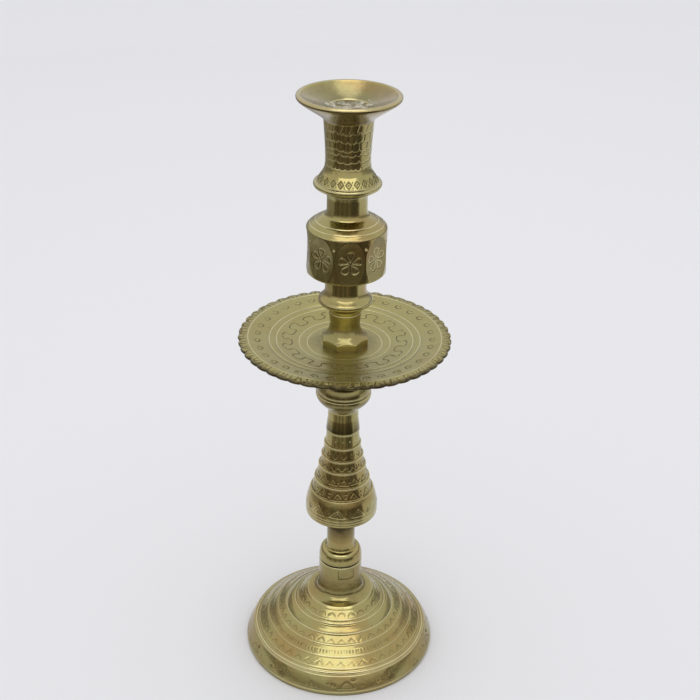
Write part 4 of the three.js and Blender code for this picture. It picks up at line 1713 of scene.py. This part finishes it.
@dataclass(frozen=True)
class Lamp:
    """A soft box that hangs over the candlestick and faces straight down.

    Args:
        name: its name.
        behind: how far behind the candlestick it hangs, in metres.
        size: its width and depth, in metres.
        power: its power, in watts.
        lights_floor: whether it lights more than the metal.
        height: how high it hangs, in metres.
    """

    name: str
    behind: float
    size: Point
    power: float
    lights_floor: bool = False
    height: float = 1.7

    def build(self) -> None:
        """Hang it."""
        light = bpy.data.lights.new(self.name, "AREA")
        light.shape = "RECTANGLE"
        light.size, light.size_y = self.size
        light.energy = self.power
        lamp = linked(self.name, light)
        lamp.matrix_world = Matrix.Translation((0, self.behind, self.height))
        lamp.visible_diffuse = self.lights_floor


@dataclass
class Studio:
    """Floor, cloths, lamps and camera. The camera was fitted to the circles of the rim, the tray and the base.

    Args:
        floor_radius: radius of the floor, in metres.
        floor_sides: how many sides it has.
        sky: colour of the light all round.
        sky_strength: how bright that light is.
        sensor: width of the camera's sensor.
        lens: focal length of the camera.
        pitch: angle by which it looks down.
        roll: angle by which it is tilted.
        eye: where it stands.
        nearest: how near it sees, in metres.
    """

    floor_radius: float = 6.0
    floor_sides: int = 96
    sky: str = "#f4f4f6"
    sky_strength: float = 0.96
    sensor: float = 36.0
    lens: float = 64.81
    pitch: float = 28.156
    roll: float = 1.26
    eye: Point3 = (3.567, -711.96, 613.118)
    nearest: float = 0.01

    def _floor(self) -> None:
        """Lay a pale floor."""
        shape = bmesh.new()
        bmesh.ops.create_circle(shape, cap_ends=True, radius=self.floor_radius, segments=self.floor_sides)
        floor = linked("floor", meshed("floor", shape))
        floor.data.materials.append(PaleFloor().build())

    def _camera(self) -> bpy.types.Object:
        """Set up the camera."""
        camera = bpy.data.cameras.new("camera")
        camera.sensor_width = self.sensor
        camera.lens = self.lens
        camera.clip_start = self.nearest
        stand = linked("camera", camera)
        turn = Matrix.Rotation(radians(90 - self.pitch), 4, "X") @ Matrix.Rotation(radians(self.roll), 4, "Z")
        stand.matrix_world = Matrix.Translation(Vector(self.eye) * MM) @ turn
        return stand

    def build(self) -> None:
        """Set the stage, the lamps and the camera."""
        scene = bpy.context.scene
        scene.world = bpy.data.worlds.new("studio")
        scene.world.use_nodes = True
        sky = scene.world.node_tree.nodes["Background"].inputs
        sky["Color"].default_value = linear(self.sky)
        sky["Strength"].default_value = self.sky_strength
        self._floor()
        ground, wall = 0.004, 0.7
        flag = Cotton("flag_cotton", ("#c4bcab", "#7e7462", "#786d5b", "#c8c4ba"), (0.35, 0.45, 0.7), (0.0, 0.16), 0.8)
        left = Cotton("left_cloth_cotton", ("#d8d8d8", "#a8a6a0", "#9c9a94", "#9c9a94"), (0.45, 0.7, 1.4))
        room = Cotton("room_cotton", ("#a5a5a0", "#a5a5a0", "#a5a5a0", "#e0e0e0"), climb=(0.2, wall))
        for part in (
            Screen("flag", ((0.2, ground), (1.5, ground), (1.6, 0.1), (1.6, 0.3)), -76, 70, flag),
            Screen("left_cloth", ((0.45, ground), (1.65, ground)), -180, -76, left),
            Screen("room", ((1.7, ground), (1.7, wall)), 70, 284, room),
            Lamp("overhead", 0.25, (0.4, 1.8), 2.7, lights_floor=True),
            # Two windows light the metal only, so that the pale floor stays even.
            Lamp("near_window", -0.75, (1.2, 1.4), 7.2),
            Lamp("far_window", -1.4, (2.6, 0.5), 8.0),
        ):
            part.build()
        scene.camera = self._camera()
        scene.view_settings.view_transform = "Standard"


def corners(bounds: Sequence[Sequence[float]]) -> list[list[float]]:
    """The lowest and highest corners of a box as plain lists."""
    return [[float(value) for value in corner] for corner in bounds]


def main() -> None:
    """Build the pieces from the foot up, then the studio."""
    logging.basicConfig(level=logging.INFO, format="%(name)s: %(message)s")
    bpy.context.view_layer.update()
    cast = AgedBrass("aged_cast_brass").build()
    dish = AgedBrass("aged_dish_brass", metal="#a29a61", warm="#a0945a", roughness=0.3, tarnish=0.16).build()
    ring = AgedBrass("worn_ring_brass", metal="#b5aa70", roughness=0.2, tarnish=0.15).build()
    thread = AgedBrass("dull_screw_brass", metal="#9b8d55", roughness=0.36).build()
    cup = CandleCup()
    for piece, material in (
        (BaseDome(), cast),
        (Disc("washer_disc", "stem_washer", Body.WASHER, 13.8, 160, Slot.LEATHER, 0.3, ragged=0.35),
         PressedLeather().build()),
        (Stem(), cast),
        (Screw("stem_thread", "stem_screw", Body.STEM), thread),
        (TrayCollar(), cast),
        (DripTray(), dish),
        (Column(), cast),
        (Screw("column_thread", "column_screw", Body.COLUMN), thread),
        (Disc("ring_turning", "cup_ring", Body.RING, 13.5, 192, Slot.RING, 0.5), ring),
        (cup, cast),
        (WaxCrust(cup), OldWax().build()),
        (Screw("cup_thread", "cup_screw", Body.CUP), thread),
    ):
        piece.build(material)
    Studio().build()


if __name__ == "__main__":
    main()
